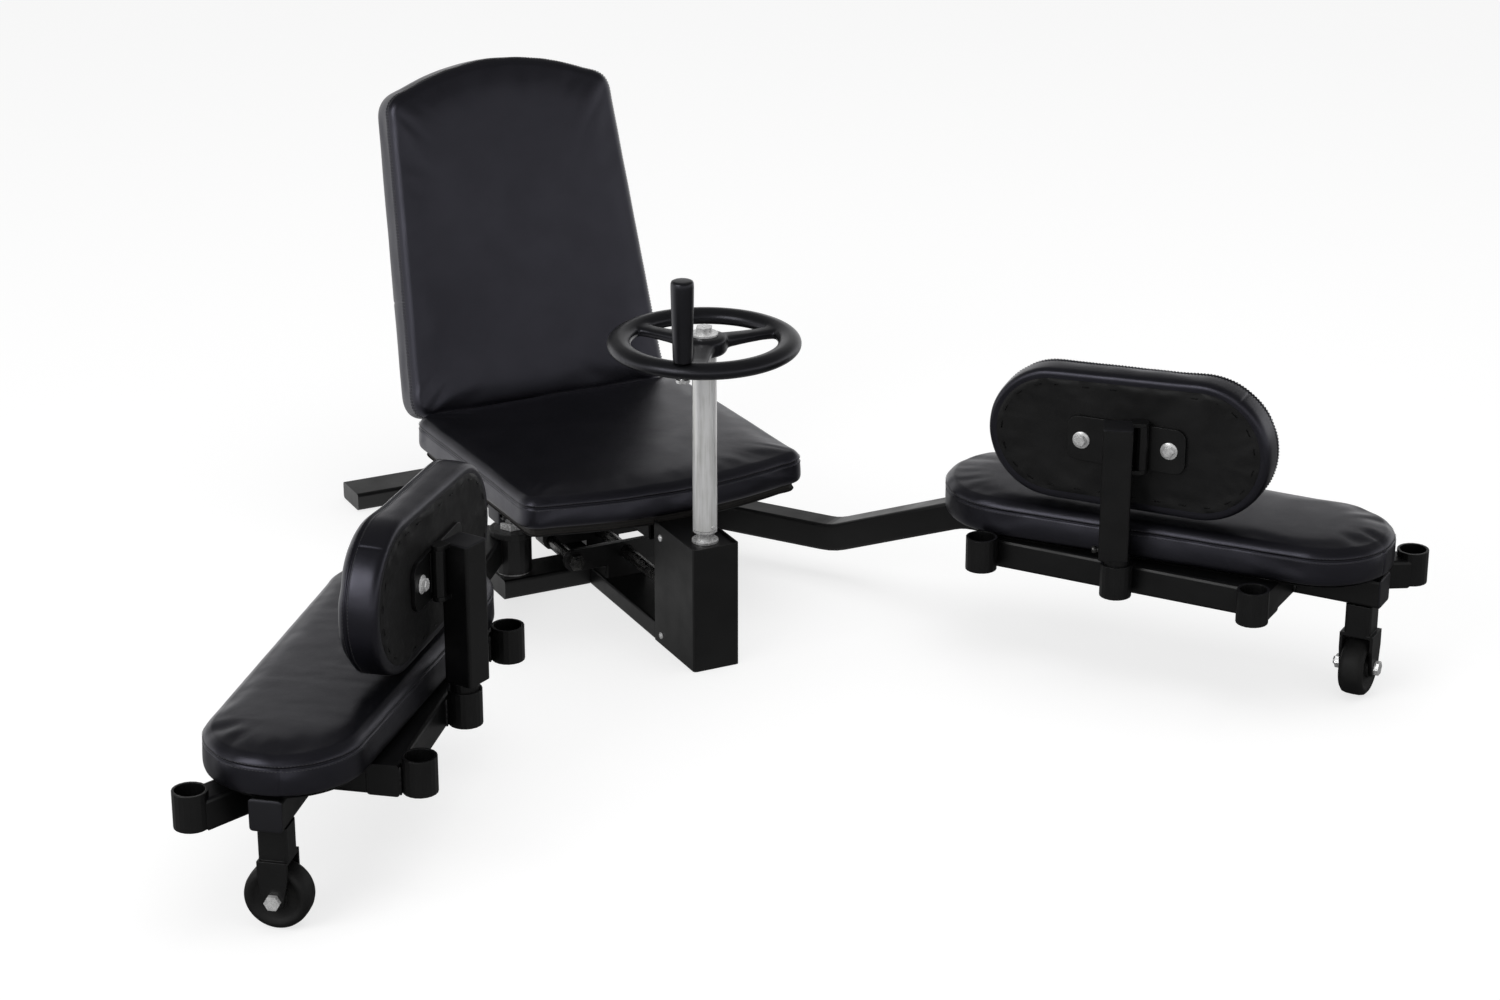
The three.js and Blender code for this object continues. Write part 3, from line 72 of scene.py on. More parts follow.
# Share of a cushion's crown that is the creased one of the simulated cover; the rest is even
CREASED = 0.5
BAND_SWELL = 0.55
LEG_PAD = {"inner": (500.4, -10, 104), "outer": (891.4, 7, 94), "bottom": 167, "height": 47, "crown": 6}
SIDE_PAD = {"inner": (-120.5, 314.5, 86.5), "outer": (68.3, 318.2, 90.8), "height": 48, "crown": 5}
SEAT = {
    "half": 202, "front": -235, "bow": 27, "rear": 165, "corner": 36, "bottom": 165, "height": 42, "crown": 7,
}
SEAT_FALL = 1.72
BACK = {"y": 179.3, "z": 204, "below": 22, "side": 424, "rise": 36, "half": 193.3, "height": 51, "crown": 7}
BACK_LEAN = 17.2
BACK_TAPER = {"side": 24.5, "low": 38, "high": 34}
BOARD_INSET = 13
BOARD_THICKNESS = 12

# Simulated covers, with the cell of their mesh and the height below which they are held
CLOTH = {
    "quality": 5, "mass": 0.35, "tension_stiffness": 18, "compression_stiffness": 18, "shear_stiffness": 8,
    "bending_stiffness": 1.2, "use_pressure": True, "uniform_pressure_force": 4,
}
CLOTH_FRAMES = 20
CLOTH_CELL = 0.0062
HELD_BELOW = 0.007

# Posts and hinges in the middle sockets; turn is in degrees
POST = {"along": -3.6, "aside": -2.5, "turn": 21.5, "size": 37, "bottom": 180, "top": 351}
HINGE = {"along": 18.85, "aside": 20.3, "turn": 4, "face": 13.6, "plate": 8.3}

# Tubes of a leg, along its arm and aside from it
ARM = {"end": 978, "aside": 5, "bottom": 124, "size": 38}
CROSS_TUBES = (493.4, 850.4)
RAIL_ASIDE = -92
SOCKETS = (494, 677, 856.8)
SOCKET_ASIDE = -131
CASTER = (953.4, 3, 38)

# Drive
COLUMN = {"y": -335, "bottom": 180.9, "top": 414.0, "radius": 15.5, "bore": 13.6, "rivets": 186}
RIM = {"radius": 106, "half_width": 15, "half_height": 10.5, "z": 428}
GRIP_ANGLE = 230
GEARBOX_HALF = 32

# Stage; the span is where the mirrored floor turns along Y from a painted shade in front of the machine to
# white behind it
PAINTED_SHADE_SPAN = (-0.5, 0.7)
PHOTO_WIDTH = 1500
CAMERA = {
    "azimuth": -26.56078, "elevation": 21.57848, "roll": 0.049712, "focal": 3477.9951,
    "place": (-1770.041, -4002.7598, 1829.3502),
}


# Materials


def new_material(name, color, rough, metal=0.0, **sockets):
    mat = bpy.data.materials.new(name)
    mat.use_nodes = True
    bsdf = mat.node_tree.nodes["Principled BSDF"]
    bsdf.inputs["Base Color"].default_value = (*color, 1)
    bsdf.inputs["Roughness"].default_value = rough
    bsdf.inputs["Metallic"].default_value = metal
    for key, value in sockets.items():
        bsdf.inputs[key.replace("_", " ")].default_value = value
    return mat, mat.node_tree


def node(tree, kind, inputs=None, **props):
    made = tree.nodes.new(kind)
    for key, value in props.items():
        setattr(made, key, value)
    for key, value in (inputs or {}).items():
        made.inputs[key].default_value = value
    return made


def coordinates(tree, stretch=(1, 1, 1)):
    coord = node(tree, "ShaderNodeTexCoord")
    mapping = node(tree, "ShaderNodeMapping", {"Scale": stretch})
    tree.links.new(coord.outputs["Object"], mapping.inputs["Vector"])
    return mapping.outputs["Vector"]


def noise_at(tree, vector, scale, detail=3.0, rough=0.5):
    tex = node(tree, "ShaderNodeTexNoise", {"Scale": scale, "Detail": detail, "Roughness": rough})
    tree.links.new(vector, tex.inputs["Vector"])
    return tex.outputs["Fac"]


def ranged(tree, value, low, high, start=0.3, end=0.7):
    limits = {"From Min": start, "From Max": end, "To Min": low, "To Max": high}
    spread = node(tree, "ShaderNodeMapRange", limits)
    tree.links.new(value, spread.inputs["Value"])
    return spread.outputs["Result"]


def two_colors(tree, value, dark, light, start=0.35, end=0.65):
    ramp = node(tree, "ShaderNodeValToRGB")
    ramp.color_ramp.elements[0].position = start
    ramp.color_ramp.elements[0].color = (*dark, 1)
    ramp.color_ramp.elements[1].position = end
    ramp.color_ramp.elements[1].color = (*light, 1)
    tree.links.new(value, ramp.inputs["Fac"])
    return ramp.outputs["Color"]


def bump(tree, height, strength, distance, below=None):
    made = node(tree, "ShaderNodeBump", {"Strength": strength, "Distance": distance})
    tree.links.new(height, made.inputs["Height"])
    if below is not None:
        tree.links.new(below, made.inputs["Normal"])
    return made.outputs["Normal"]


def rounded_normal(tree, radius):
    return node(tree, "ShaderNodeBevel", {"Radius": radius}, samples=6).outputs["Normal"]


def wired(mat, color, rough=None, normal=None):
    tree = mat.node_tree
    inputs = tree.nodes["Principled BSDF"].inputs
    for value, socket in ((color, "Base Color"), (rough, "Roughness"), (normal, "Normal")):
        if value is not None:
            tree.links.new(value, inputs[socket])
    return mat


def powder_coat():
    mat, tree = new_material("powder_coat", (0.0025, 0.0025, 0.0027), 0.38)
    vector = coordinates(tree)
    color = two_colors(tree, noise_at(tree, vector, 14), (0.0018, 0.0018, 0.002), (0.0032, 0.0032, 0.0034))
    rough = ranged(tree, noise_at(tree, vector, 30), 0.34, 0.44)
    normal = bump(tree, noise_at(tree, vector, 420, 2), 0.16, 0.0003, rounded_normal(tree, 0.0012))
    return wired(mat, color, rough, normal)


def vinyl():
    """Leatherette: pressed cells under a slow waviness."""
    # The bluish specular tint is a painted cool cast of the reflections.
    mat, tree = new_material(
        "vinyl", (0.003, 0.003, 0.004), 0.42, Specular_IOR_Level=0.7, Specular_Tint=(0.83, 0.82, 1, 1)
    )
    vector = coordinates(tree)
    color = two_colors(tree, noise_at(tree, vector, 9), (0.0020, 0.0020, 0.0027), (0.0036, 0.0035, 0.0046))
    rough = ranged(tree, noise_at(tree, vector, 22), 0.31, 0.39)
    grain = node(tree, "ShaderNodeTexVoronoi", {"Scale": 820.0}, feature="DISTANCE_TO_EDGE")
    tree.links.new(vector, grain.inputs["Vector"])
    normal = bump(tree, ranged(tree, grain.outputs["Distance"], 0.0, 1.0, 0.0, 0.16), 0.16, 0.00016)
    normal = bump(tree, noise_at(tree, vector, 60, 4), 0.18, 0.0008, normal)
    return wired(mat, color, rough, normal)


def backing_cloth():
    """Cover on a cushion's back: fibres, small dents and slack folds."""
    mat, tree = new_material("backing_cloth", (0.003, 0.003, 0.0033), 0.62, Specular_IOR_Level=0.4)
    vector = coordinates(tree)
    color = two_colors(tree, noise_at(tree, vector, 16), (0.0013, 0.0013, 0.0015), (0.003, 0.003, 0.0033))
    rough = ranged(tree, noise_at(tree, vector, 40), 0.5, 0.66)
    normal = bump(tree, noise_at(tree, coordinates(tree, (1, 1, 2.6)), 900, 3), 0.3, 0.0003)
    normal = bump(tree, noise_at(tree, vector, 45, 4), 0.3, 0.0012, normal)
    normal = bump(tree, noise_at(tree, vector, 15, 2), 0.8, 0.006, normal)
    return wired(mat, color, rough, normal)


def plastic(name, color=(0.0025, 0.0025, 0.0028), low=0.3, high=0.4):
    # The bluish specular tint is a painted cool cast of the highlights.
    mat, tree = new_material(name, color, low, Specular_IOR_Level=0.6, Specular_Tint=(0.88, 0.88, 1, 1))
    vector = coordinates(tree)
    lighter = tuple(1.35 * c for c in color)
    toned = two_colors(tree, noise_at(tree, vector, 12), color, lighter)
    rough = ranged(tree, noise_at(tree, vector, 28), low, high)
    normal = bump(tree, noise_at(tree, vector, 700, 2), 0.1, 0.0002, rounded_normal(tree, 0.0008))
    return wired(mat, toned, rough, normal)


def rubber():
    """Tyre rubber with dust in its hollows."""
    mat, tree = new_material("rubber", (0.005, 0.005, 0.005), 0.6, Specular_IOR_Level=0.4)
    vector = coordinates(tree)
    dust = noise_at(tree, vector, 35, 5)
    color = two_colors(tree, dust, (0.003, 0.003, 0.003), (0.010, 0.0098, 0.0094), 0.45, 0.8)
    normal = bump(tree, noise_at(tree, vector, 500, 3), 0.2, 0.0003, rounded_normal(tree, 0.0008))
    return wired(mat, color, ranged(tree, dust, 0.5, 0.72), normal)


def zinc(name="zinc", dark=(0.62, 0.62, 0.62), light=(0.88, 0.88, 0.88), metallic=0.5):
    mat, tree = new_material(name, light, 0.28, metallic)
    vector = coordinates(tree)
    color = two_colors(tree, noise_at(tree, vector, 160, 4), dark, light)
    rough = ranged(tree, noise_at(tree, vector, 240), 0.2, 0.38)
    normal = bump(tree, noise_at(tree, vector, 900, 2), 0.14, 0.0002, rounded_normal(tree, 0.0005))
    return wired(mat, color, rough, normal)


def chrome():
    """Chrome with streaks along the column and worn, duller blotches; being only partly metallic, its pale
    colour also shows as matt white, a painted reflection that keeps the column bright.
    """
    # Metallic 0.4 under a near-white colour: the matt share is a painted reflection.
    mat, tree = new_material("chrome", (0.9, 0.9, 0.9), 0.16, 0.4)
    streaks = noise_at(tree, coordinates(tree, (9, 9, 0.35)), 38, 4)
    blotches = noise_at(tree, coordinates(tree, (1, 1, 0.6)), 85, 4)
    tone = node(tree, "ShaderNodeMath", operation="MULTIPLY")
    tree.links.new(streaks, tone.inputs[0])
    tree.links.new(ranged(tree, blotches, 0.85, 1.1), tone.inputs[1])
    color = two_colors(tree, tone.outputs["Value"], (0.74, 0.74, 0.72), (0.97, 0.97, 0.97), 0.3, 0.56)
    return wired(mat, color, ranged(tree, blotches, 0.14, 0.26), bump(tree, streaks, 0.08, 0.0004))


def dark_plywood():
    """Stained board with its layers along Z."""
    mat, tree = new_material("dark_plywood", (0.014, 0.012, 0.011), 0.75)
    layers = node(
        tree, "ShaderNodeTexWave", {"Scale": 90.0, "Distortion": 1.5, "Detail": 3.0}, bands_direction="Z"
    )
    tree.links.new(coordinates(tree), layers.inputs["Vector"])
    color = two_colors(tree, layers.outputs["Fac"], (0.009, 0.008, 0.0075), (0.019, 0.016, 0.0135), 0.2, 0.8)
    grain = noise_at(tree, coordinates(tree, (1, 9, 9)), 60, 5)
    return wired(mat, color, ranged(tree, grain, 0.6, 0.8), bump(tree, grain, 0.2, 0.0004))


def thread():
    mat, tree = new_material("thread", (0.03, 0.03, 0.034), 0.5)
    twist = node(tree, "ShaderNodeTexWave", {"Scale": 900.0, "Distortion": 0.5}, bands_direction="DIAGONAL")
    tree.links.new(coordinates(tree), twist.inputs["Vector"])
    return wired(mat, two_colors(tree, twist.outputs["Fac"], (0.02, 0.02, 0.023), (0.045, 0.045, 0.05)))


STEEL = powder_coat()
VINYL = vinyl()
BACKING = backing_cloth()
PLASTIC = plastic("satin_plastic")
CAP = plastic("cap_plastic", (0.004, 0.004, 0.0043), 0.42, 0.52)
RUBBER = rubber()
ZINC = zinc()
DARK_ZINC = zinc("oiled_zinc", (0.07, 0.07, 0.07), (0.16, 0.157, 0.152), 1.0)
BLACK_ZINC = zinc("black_zinc", (0.012, 0.012, 0.012), (0.03, 0.03, 0.03), 1.0)
CHROME = chrome()
PLYWOOD = dark_plywood()
THREAD = thread()
SLOT_MATERIALS = {
    "black_steel": STEEL, "zinc": ZINC, "chrome": CHROME, "black_plastic": PLASTIC,
    "vinyl": VINYL, "plywood": PLYWOOD, "rubber": RUBBER,
}
OILED_NODES = ("lead_screw", "guide_rod_left", "guide_rod_right", "column_bevel_gear", "screw_bevel_gear")


def dress_cad_nodes():
    for part in frame["record"]["subparts"]:
        mesh = frame["nodes"][part["node"]].data
        mesh.materials.clear()
        oiled = part["node"] in OILED_NODES
        mesh.materials.append(DARK_ZINC if oiled else SLOT_MATERIALS[part["material_slot"]])


# Places


def scaled(x, y, z):
    return Vector((x, y, z)) * MM


def leg_frame(side, rest):
    turn = Matrix.Rotation(math.radians(-90 + side * rest), 4, "Z")
    mirror = Matrix.Diagonal((1, side, 1, 1))
    return Matrix.Translation(scaled(side * PIVOT_X, PIVOT_Y, 0)) @ turn @ mirror


def standing_frame(name, part):
    """Frame of a post or a hinge that stands in the middle socket of a leg."""
    socket = Matrix.Translation(scaled(SOCKETS[1], SOCKET_ASIDE, 0))
    turn = Matrix.Rotation(math.radians(part["turn"]), 4, "Z")
    offset = Matrix.Translation(scaled(part["along"], part["aside"], 0))
    return leg_frame(*SIDES[name]) @ socket @ offset @ turn


def side_pad_frame(name):
    stand = Matrix(((-1, 0, 0, 0), (0, 0, 1, HINGE["face"] * MM), (0, 1, 0, 0), (0, 0, 0, 1)))
    return standing_frame(name, HINGE) @ stand


def seat_frame():
    fall = Matrix.Rotation(-math.radians(SEAT_FALL), 4, "X")
    return Matrix.Translation(scaled(0, 0, SEAT["bottom"])) @ fall


def back_frame():
    lean = math.radians(BACK_LEAN)
    height = BACK["height"]
    foot = scaled(0, BACK["y"] + height * math.cos(lean), BACK["z"] - height * math.sin(lean))
    return Matrix.Translation(foot) @ Matrix.Rotation(math.pi / 2 - lean, 4, "X")


# Mesh helpers


def finish_mesh(name, bm, mat, body):
    """Turns a bmesh into an object of one material that rides a body."""
    bmesh.ops.recalc_face_normals(bm, faces=bm.faces)
    mesh = bpy.data.meshes.new(name)
    bm.to_mesh(mesh)
    bm.free()
    for poly in mesh.polygons:
        poly.use_smooth = True
    mesh.set_sharp_from_angle(angle=math.radians(42))
    mesh.materials.append(mat)
    made = bpy.data.objects.new(name, mesh)
    bpy.context.scene.collection.objects.link(made)
    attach(made, body)
    return made


def add_rings(bm, rings, close_start=False, close_end=False):
    """Faces between rings of points in metres; returns the rows of vertices."""
    rows = [[bm.verts.new(p) for p in ring] for ring in rings]
    for low, high in zip(rows, rows[1:]):
        for i in range(len(low)):
            j = (i + 1) % len(low)
            bm.faces.new((low[i], low[j], high[j], high[i]))
    if close_start:
        bm.faces.new(rows[0][::-1])
    if close_end:
        bm.faces.new(rows[-1])
    return rows


def add_solid(bm, rings, place=None):
    """Solid between rings with both ends closed, moved to its place."""
    start = len(bm.verts)
    add_rings(bm, rings, True, True)
    if place is not None:
        bm.verts.ensure_lookup_table()
        bmesh.ops.transform(bm, matrix=place, verts=bm.verts[start:])


def split_large_faces(bm):
    for face in [f for f in bm.faces if len(f.verts) > 4]:
        bmesh.ops.triangulate(bm, faces=[face], ngon_method="BEAUTY")


def circle(radius, z, sides):
    steps = [TAU * i / sides for i in range(sides)]
    return [scaled(radius * math.cos(t), radius * math.sin(t), z) for t in steps]


def add_turned(bm, profile, sides, place=None):
    """Turns (radius, z) in millimetres round Z, with both ends closed."""
    add_solid(bm, [circle(r, z, sides) for r, z in profile], place)


def add_ring_solid(bm, rings):
    """Closes a run of rings onto itself, for a solid with a hole through it."""
    add_rings(bm, rings + [rings[0]])
    bmesh.ops.remove_doubles(bm, verts=bm.verts, dist=1e-6)


def add_hex_bolt(bm, place, across, head, washer_radius, washer):
    """Hex head on a round washer; place puts its seat at the origin with +Z outwards."""
    inner = washer_radius - 0.5
    rim = [(inner, 0), (washer_radius, 0.4), (washer_radius, washer - 0.4), (inner, washer)]
    add_turned(bm, rim, 28, place)
    radius = across / math.sqrt(3)
    top = washer + head
    add_turned(bm, [(radius, washer), (radius, washer + head * 0.82), (radius * 0.86, top)], 6, place)


def along(point, direction):
    """Matrix at a point in millimetres with +Z along a direction."""
    turn = Vector(direction).to_track_quat("Z", "Y").to_matrix().to_4x4()
    return Matrix.Translation(Vector(point) * MM) @ turn


def bead(bm, points, radius, seed, squash=0.7):
    """Weld bead: a lumpy tube along a list of points in metres."""
    rng = random.Random(seed)
    turns = [TAU * k / 8 for k in range(8)]
    last = len(points) - 1
    rings = []
    for i, point in enumerate(points):
        direction = (points[min(i + 1, last)] - points[max(i - 1, 0)]).normalized()
        across = direction.orthogonal().normalized()
        other = direction.cross(across)
        swell = 0.35 if i in (0, last) else 0.8 + 0.22 * math.cos(2.1 * i) + 0.16 * rng.random()
        rings.append([
            point + (across * math.cos(t) + other * math.sin(t) * squash) * radius * MM * swell for t in turns
        ])
    add_solid(bm, rings)


def line_points(a, b, step=2.2):
    a, b = Vector(a), Vector(b)
    count = max(3, int((b - a).length / step))
    return [a.lerp(b, i / count) * MM for i in range(count + 1)]


# Cushions


def seam_gap(station, seam, total):
    """Distance along a closed outline from a station to a seam, given as a share of the outline."""
    return abs((station - seam * total + total / 2) % total - total / 2)


def even(points, step, seams=()):
    """Resamples a closed outline of (x, y) at even steps, with extra stations close to its seams."""
    pts = np.array(points, float)
    closed = np.vstack([pts, pts[:1]])
    lengths = np.hypot(*np.diff(closed, axis=0).T)
    reach = np.concatenate([[0], np.cumsum(lengths)])
    total = reach[-1]
    stations = list(np.linspace(0, total, int(round(total / step)), endpoint=False))
    for seam in seams:
        stations = [s for s in stations if seam_gap(s, seam, total) > SEAM_CLEAR]
        stations += [(seam * total + d) % total for d in SEAM_STATIONS]
    stations = np.array(sorted(stations))
    x = np.interp(stations, reach, closed[:, 0])
    y = np.interp(stations, reach, closed[:, 1])
    return np.stack([x, y], 1), stations, total


def taper_points(a, b, steps=60):
    """Outline round two circles, each given as x, y and radius."""
    (x0, y0, r0), (x1, y1, r1) = a, b
    axis = math.atan2(y1 - y0, x1 - x0)
    lean = math.acos((r0 - r1) / math.hypot(x1 - x0, y1 - y0))
    outer = [axis - lean + 2 * lean * i / steps for i in range(steps + 1)]
    inner = [axis + lean + (TAU - 2 * lean) * i / steps for i in range(steps + 1)]
    far_end = [(x1 + r1 * math.cos(t), y1 + r1 * math.sin(t)) for t in outer]
    return far_end + [(x0 + r0 * math.cos(t), y0 + r0 * math.sin(t)) for t in inner]


def quadratic(p0, p1, p2, steps=24):
    made = []
    for i in range(steps):
        t = i / steps
        mix = ((1 - t) ** 2, 2 * t * (1 - t), t * t)
        made.append(tuple(mix[0] * a + mix[1] * b + mix[2] * c for a, b, c in zip(p0, p1, p2)))
    return made


def seat_points():
    w, f, r, c, bow = SEAT["half"], SEAT["front"], SEAT["rear"], SEAT["corner"], SEAT["bow"]
    return (
        quadratic((-w + c, f), (0, f - 2 * bow), (w - c, f), 60) + quadratic((w - c, f), (w, f), (w, f + c))
        + quadratic((w, r - c), (w, r), (w - c, r)) + quadratic((-w + c, r), (-w, r), (-w, r - c))
        + quadratic((-w, f + c), (-w, f), (-w + c, f))
    )


def back_points():
    b, s, rise, half = BACK["below"], BACK["side"], BACK["rise"], BACK["half"]
    per, low_c, high_c = BACK_TAPER["side"], BACK_TAPER["low"], BACK_TAPER["high"]
    low = half + per * b / (s + b) - per * b / s
    high = half - per
    return (
        [(-low + low_c, -b)] + quadratic((low - low_c, -b), (low, -b), (low - per * low_c / s, low_c - b))
        + quadratic((high, s - high_c), (high, s), (high - high_c, s + rise / 5))
        + quadratic((high - high_c, s + rise / 5), (0, s + 1.8 * rise), (-high + high_c, s + rise / 5), 60)
        + quadratic((-high + high_c, s + rise / 5), (-high, s), (-high, s - high_c))
        + quadratic((-low + per * low_c / s, low_c - b), (-low, -b), (-low + low_c, -b))
    )


def normals_of(points):
    """Outward normals of a closed outline that runs counter-clockwise."""
    ahead = np.roll(points, -1, 0) - np.roll(points, 1, 0)
    ahead /= np.linalg.norm(ahead, axis=1)[:, None]
    return np.stack([ahead[:, 1], -ahead[:, 0]], 1)


def medial_of(points, ends):
    """For each outline point, the point of the cushion's middle line that it is drawn towards."""
    (x0, y0), (x1, y1) = ends
    a, d = np.array([x0, y0]), np.array([x1 - x0, y1 - y0])
    t = np.clip(((points - a) @ d) / max(d @ d, 1e-9), 0, 1)
    return a + t[:, None] * d


def side_levels(height):
    """(inset, z) up the band, with the seam's groove under the rolled edge."""
    seam = height - SEAM_DROP
    band = [
        (DRAW_IN, 0), (DRAW_IN * 0.45, 1.6), (DRAW_IN * 0.16, height * 0.12), (0.6, height * 0.26),
        (0.15, height * 0.42), (0, height * 0.56),
    ]
    groove = [
        (0.1, seam - 3.4), (0.35, seam - SEAM_HALF), (SEAM_DEPTH, seam - 0.45), (SEAM_DEPTH, seam + 0.45),
        (0.3, seam + SEAM_HALF), (0.0, seam + 3.0),
    ]
    roll = []
    for t in (14, 32, 50, 66, 80, 90):
        s = math.radians(t)
        roll.append((EDGE_RADIUS * (1 - math.cos(s)), height - EDGE_RADIUS * (1 - math.sin(s))))
    return band, groove, [r for r in roll if r[1] > seam + 3.2]


def cover_mesh(points, medial, height):
    """Closed, evenly meshed copy of a cushion, a little inside its outline."""
    out = normals_of(points)
    rings = []
    for inset, z in [(DRAW_IN + 1, 0), (2.0, 5), (1.5, height - 9), (4.5, height - 2.5), (9, height)]:
        rings.append([scaled(x, y, z) for x, y in points - out * inset])
    rim = points - out * 9
    for share in (0.35, 0.7, 0.94):
        rings.append([scaled(x, y, height) for x, y in rim + (medial - rim) * share])
    bm = bmesh.new()
    add_solid(bm, rings)
    bmesh.ops.recalc_face_normals(bm, faces=bm.faces)
    mesh = bpy.data.meshes.new("cover_proxy")
    bm.to_mesh(mesh)
    bm.free()
    proxy = bpy.data.objects.new("cover_proxy", mesh)
    bpy.context.scene.collection.objects.link(proxy)
    remesh = proxy.modifiers.new("remesh", "REMESH")
    remesh.mode = "VOXEL"
    remesh.voxel_size = CLOTH_CELL
    graph = bpy.context.evaluated_depsgraph_get()
    even_mesh = bpy.data.meshes.new_from_object(proxy.evaluated_get(graph))
    proxy.modifiers.clear()
    proxy.data = even_mesh
    return proxy


def simulate_cover(points, medial, height, cap):
    """Blows up a cloth copy of the cushion and returns a function that gives its swelling at a point."""
    proxy = cover_mesh(points, medial, height)
    start = np.array([v.co[:] for v in proxy.data.vertices])
    held = proxy.vertex_groups.new(name="held")
    held.add([i for i, c in enumerate(start) if c[2] < HELD_BELOW], 1.0, "REPLACE")
    cloth = proxy.modifiers.new("cloth", "CLOTH")
    for key, value in CLOTH.items():
        setattr(cloth.settings, key, value)
    cloth.settings.effector_weights.gravity = 0
    cloth.settings.vertex_group_mass = "held"
    cloth.collision_settings.use_collision = False
    cloth.point_cache.frame_start = 1
    cloth.point_cache.frame_end = CLOTH_FRAMES
    scene = bpy.context.scene
    for step in range(1, CLOTH_FRAMES + 1):
        scene.frame_set(step)
    graph = bpy.context.evaluated_depsgraph_get()
    swollen = proxy.evaluated_get(graph).to_mesh()
    end = np.array([v.co[:] for v in swollen.vertices])
    proxy.evaluated_get(graph).to_mesh_clear()
    move = end - start
    size = np.linalg.norm(move, axis=1)
    move *= (np.minimum(size, cap * MM) / np.maximum(size, 1e-9))[:, None]
    bpy.data.objects.remove(proxy)
    scene.frame_set(1)
    tree = KDTree(len(start))
    for i, co in enumerate(start):
        tree.insert(co, i)
    tree.balance()
    top = move[start[:, 2] > (height - 1.5) * MM, 2]
    peak = float(np.percentile(top, 98)) if len(top) else 1e-3

    def swelling(point):
        near = tree.find_n(point, 5)
        weights = [1 / (d + 0.001) for _, _, d in near]
        total = sum(weights)
        mixed = sum((Vector(move[i]) * w for (_, i, _), w in zip(near, weights)), Vector())
        return mixed / total / max(peak, 1e-4)

    return swelling


def cushion_points(points, ends, height, crown, swelling, wrinkle, seams, stations, total):
    """Rows of points of one cushion in its own frame, from its foot up to the middle of its top."""
    out = normals_of(points)
    medial = medial_of(points, ends)
    band, groove, roll = side_levels(height)
    rows = []
    for inset, z in band + groove + roll:
        rows.append([np.array([*(p - n * inset), z]) for p, n in zip(points, out)])
    rim = points - out * EDGE_RADIUS
    for share in (0.05, 0.11, 0.18, 0.26, 0.35, 0.45, 0.56, 0.68, 0.8, 0.9, 0.96, 0.99):
        rows.append([np.array([*(p + (m - p) * share), height]) for p, m in zip(rim, medial)])
    seam_z = height - SEAM_DROP
    even_share = 1.0 if swelling is None else 1 - CREASED
    made = []
    for row in rows:
        ring = []
        for i, co in enumerate(row):
            n = out[i]
            on_top = co[2] >= height - 1
            rounded = co.copy()
            if swelling is not None:
                push = swelling(Vector(co * MM)) * (CREASED if on_top else BAND_SWELL) * crown
                rounded = rounded + np.array(push[:]) * min(1, co[2] / 8)
            if on_top:
                reach = max(np.linalg.norm(points[i] - medial[i]), 1e-6)
                share = 1 - np.linalg.norm(co[:2] - medial[i]) / reach
                rounded[2] += even_share * crown * (1 - (1 - share) ** 2)
            rounded = rounded + wrinkle(co, n, height, stations[i] / total)
            for seam in seams:
                gap = seam_gap(stations[i], seam, total)
                if gap < 3 and DRAW_IN * 0.1 < co[2] < seam_z - 1:
                    rounded[:2] -= n * 1.1 * math.exp(-(gap / 1.3) ** 2)
            ring.append(Vector(rounded * MM))
        made.append(ring)
    return made


def wavy(x, y, z):
    return noise.noise(Vector((x, y, z)))


def leg_wrinkle(seed):
    """Faint creases across the rest, and a slight pull towards the foot of the band."""
    def move(co, n, height, share):
        x, y, z = co
        up = 0.0
        inside = 0.0
        if z >= height - 1:
            crease = wavy(x / 17 + seed, y / 75, seed) + 0.6 * wavy(x / 9, y / 40 + seed, 2.2)
            up = 0.42 * crease * (0.4 + 0.6 * max(0, wavy(x / 120 + seed, y / 160, 4)) * 2)
        else:
            pull = wavy(share * 38 + seed, z / 40, 1.3)
            inside = 0.55 * pull * (1 - z / height) + 0.25 * wavy(share * 90, z / 14, seed)
        return np.array([n[0] * inside, n[1] * inside, up])
    return move


def band_wrinkle(seed, amount=0.45):
    """A slow waviness of the top, and a slight unevenness of the band."""
    def move(co, n, height, share):
        x, y, z = co
        up = 0.0
        inside = 0.0
        if z >= height - 1:
            up = 0.5 * amount * wavy(x / 60 + seed, y / 60, seed)
        else:
            inside = amount * wavy(share * 34 + seed, z / 45, 1.7) * (1 - 0.5 * z / height)
        return np.array([n[0] * inside, n[1] * inside, up])
    return move


def close_top(bm, ring, ends):
    """Closes the innermost ring: round one point by a fan, along a middle line by faces across it."""
    if math.dist(*ends) > 1:
        bm.faces.new(ring)
        return
    centre = bm.verts.new(sum((v.co for v in ring), Vector()) / len(ring))
    for i, vert in enumerate(ring):
        bm.faces.new((vert, ring[(i + 1) % len(ring)], centre))


def build_cushion(name, body, place, outline, ends, size, wrinkle, seams, swelling, replaced):
    height = size["height"]
    points, stations, total = even(outline, OUTLINE_STEP, seams)
    rows = cushion_points(points, ends, height, size["crown"], swelling, wrinkle, seams, stations, total)
    out = normals_of(points)
    underside = [(46, 0.6), (30, 0.3), (14, 0.05), (9, 0)]
    foot = [[scaled(*(p - n * inset), z) for p, n in zip(points, out)] for inset, z in underside]
    bm = bmesh.new()
    verts = add_rings(bm, foot + rows, True)
    close_top(bm, verts[-1], ends)
    split_large_faces(bm)
    bmesh.ops.transform(bm, matrix=place, verts=bm.verts)
    made = finish_mesh(name, bm, VINYL, body)
    fine = made.modifiers.new("fine", "SUBSURF")
    fine.levels = 1
    fine.render_levels = 1
    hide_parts(replaced)
    add_stitches(name, body, place, rows, height)


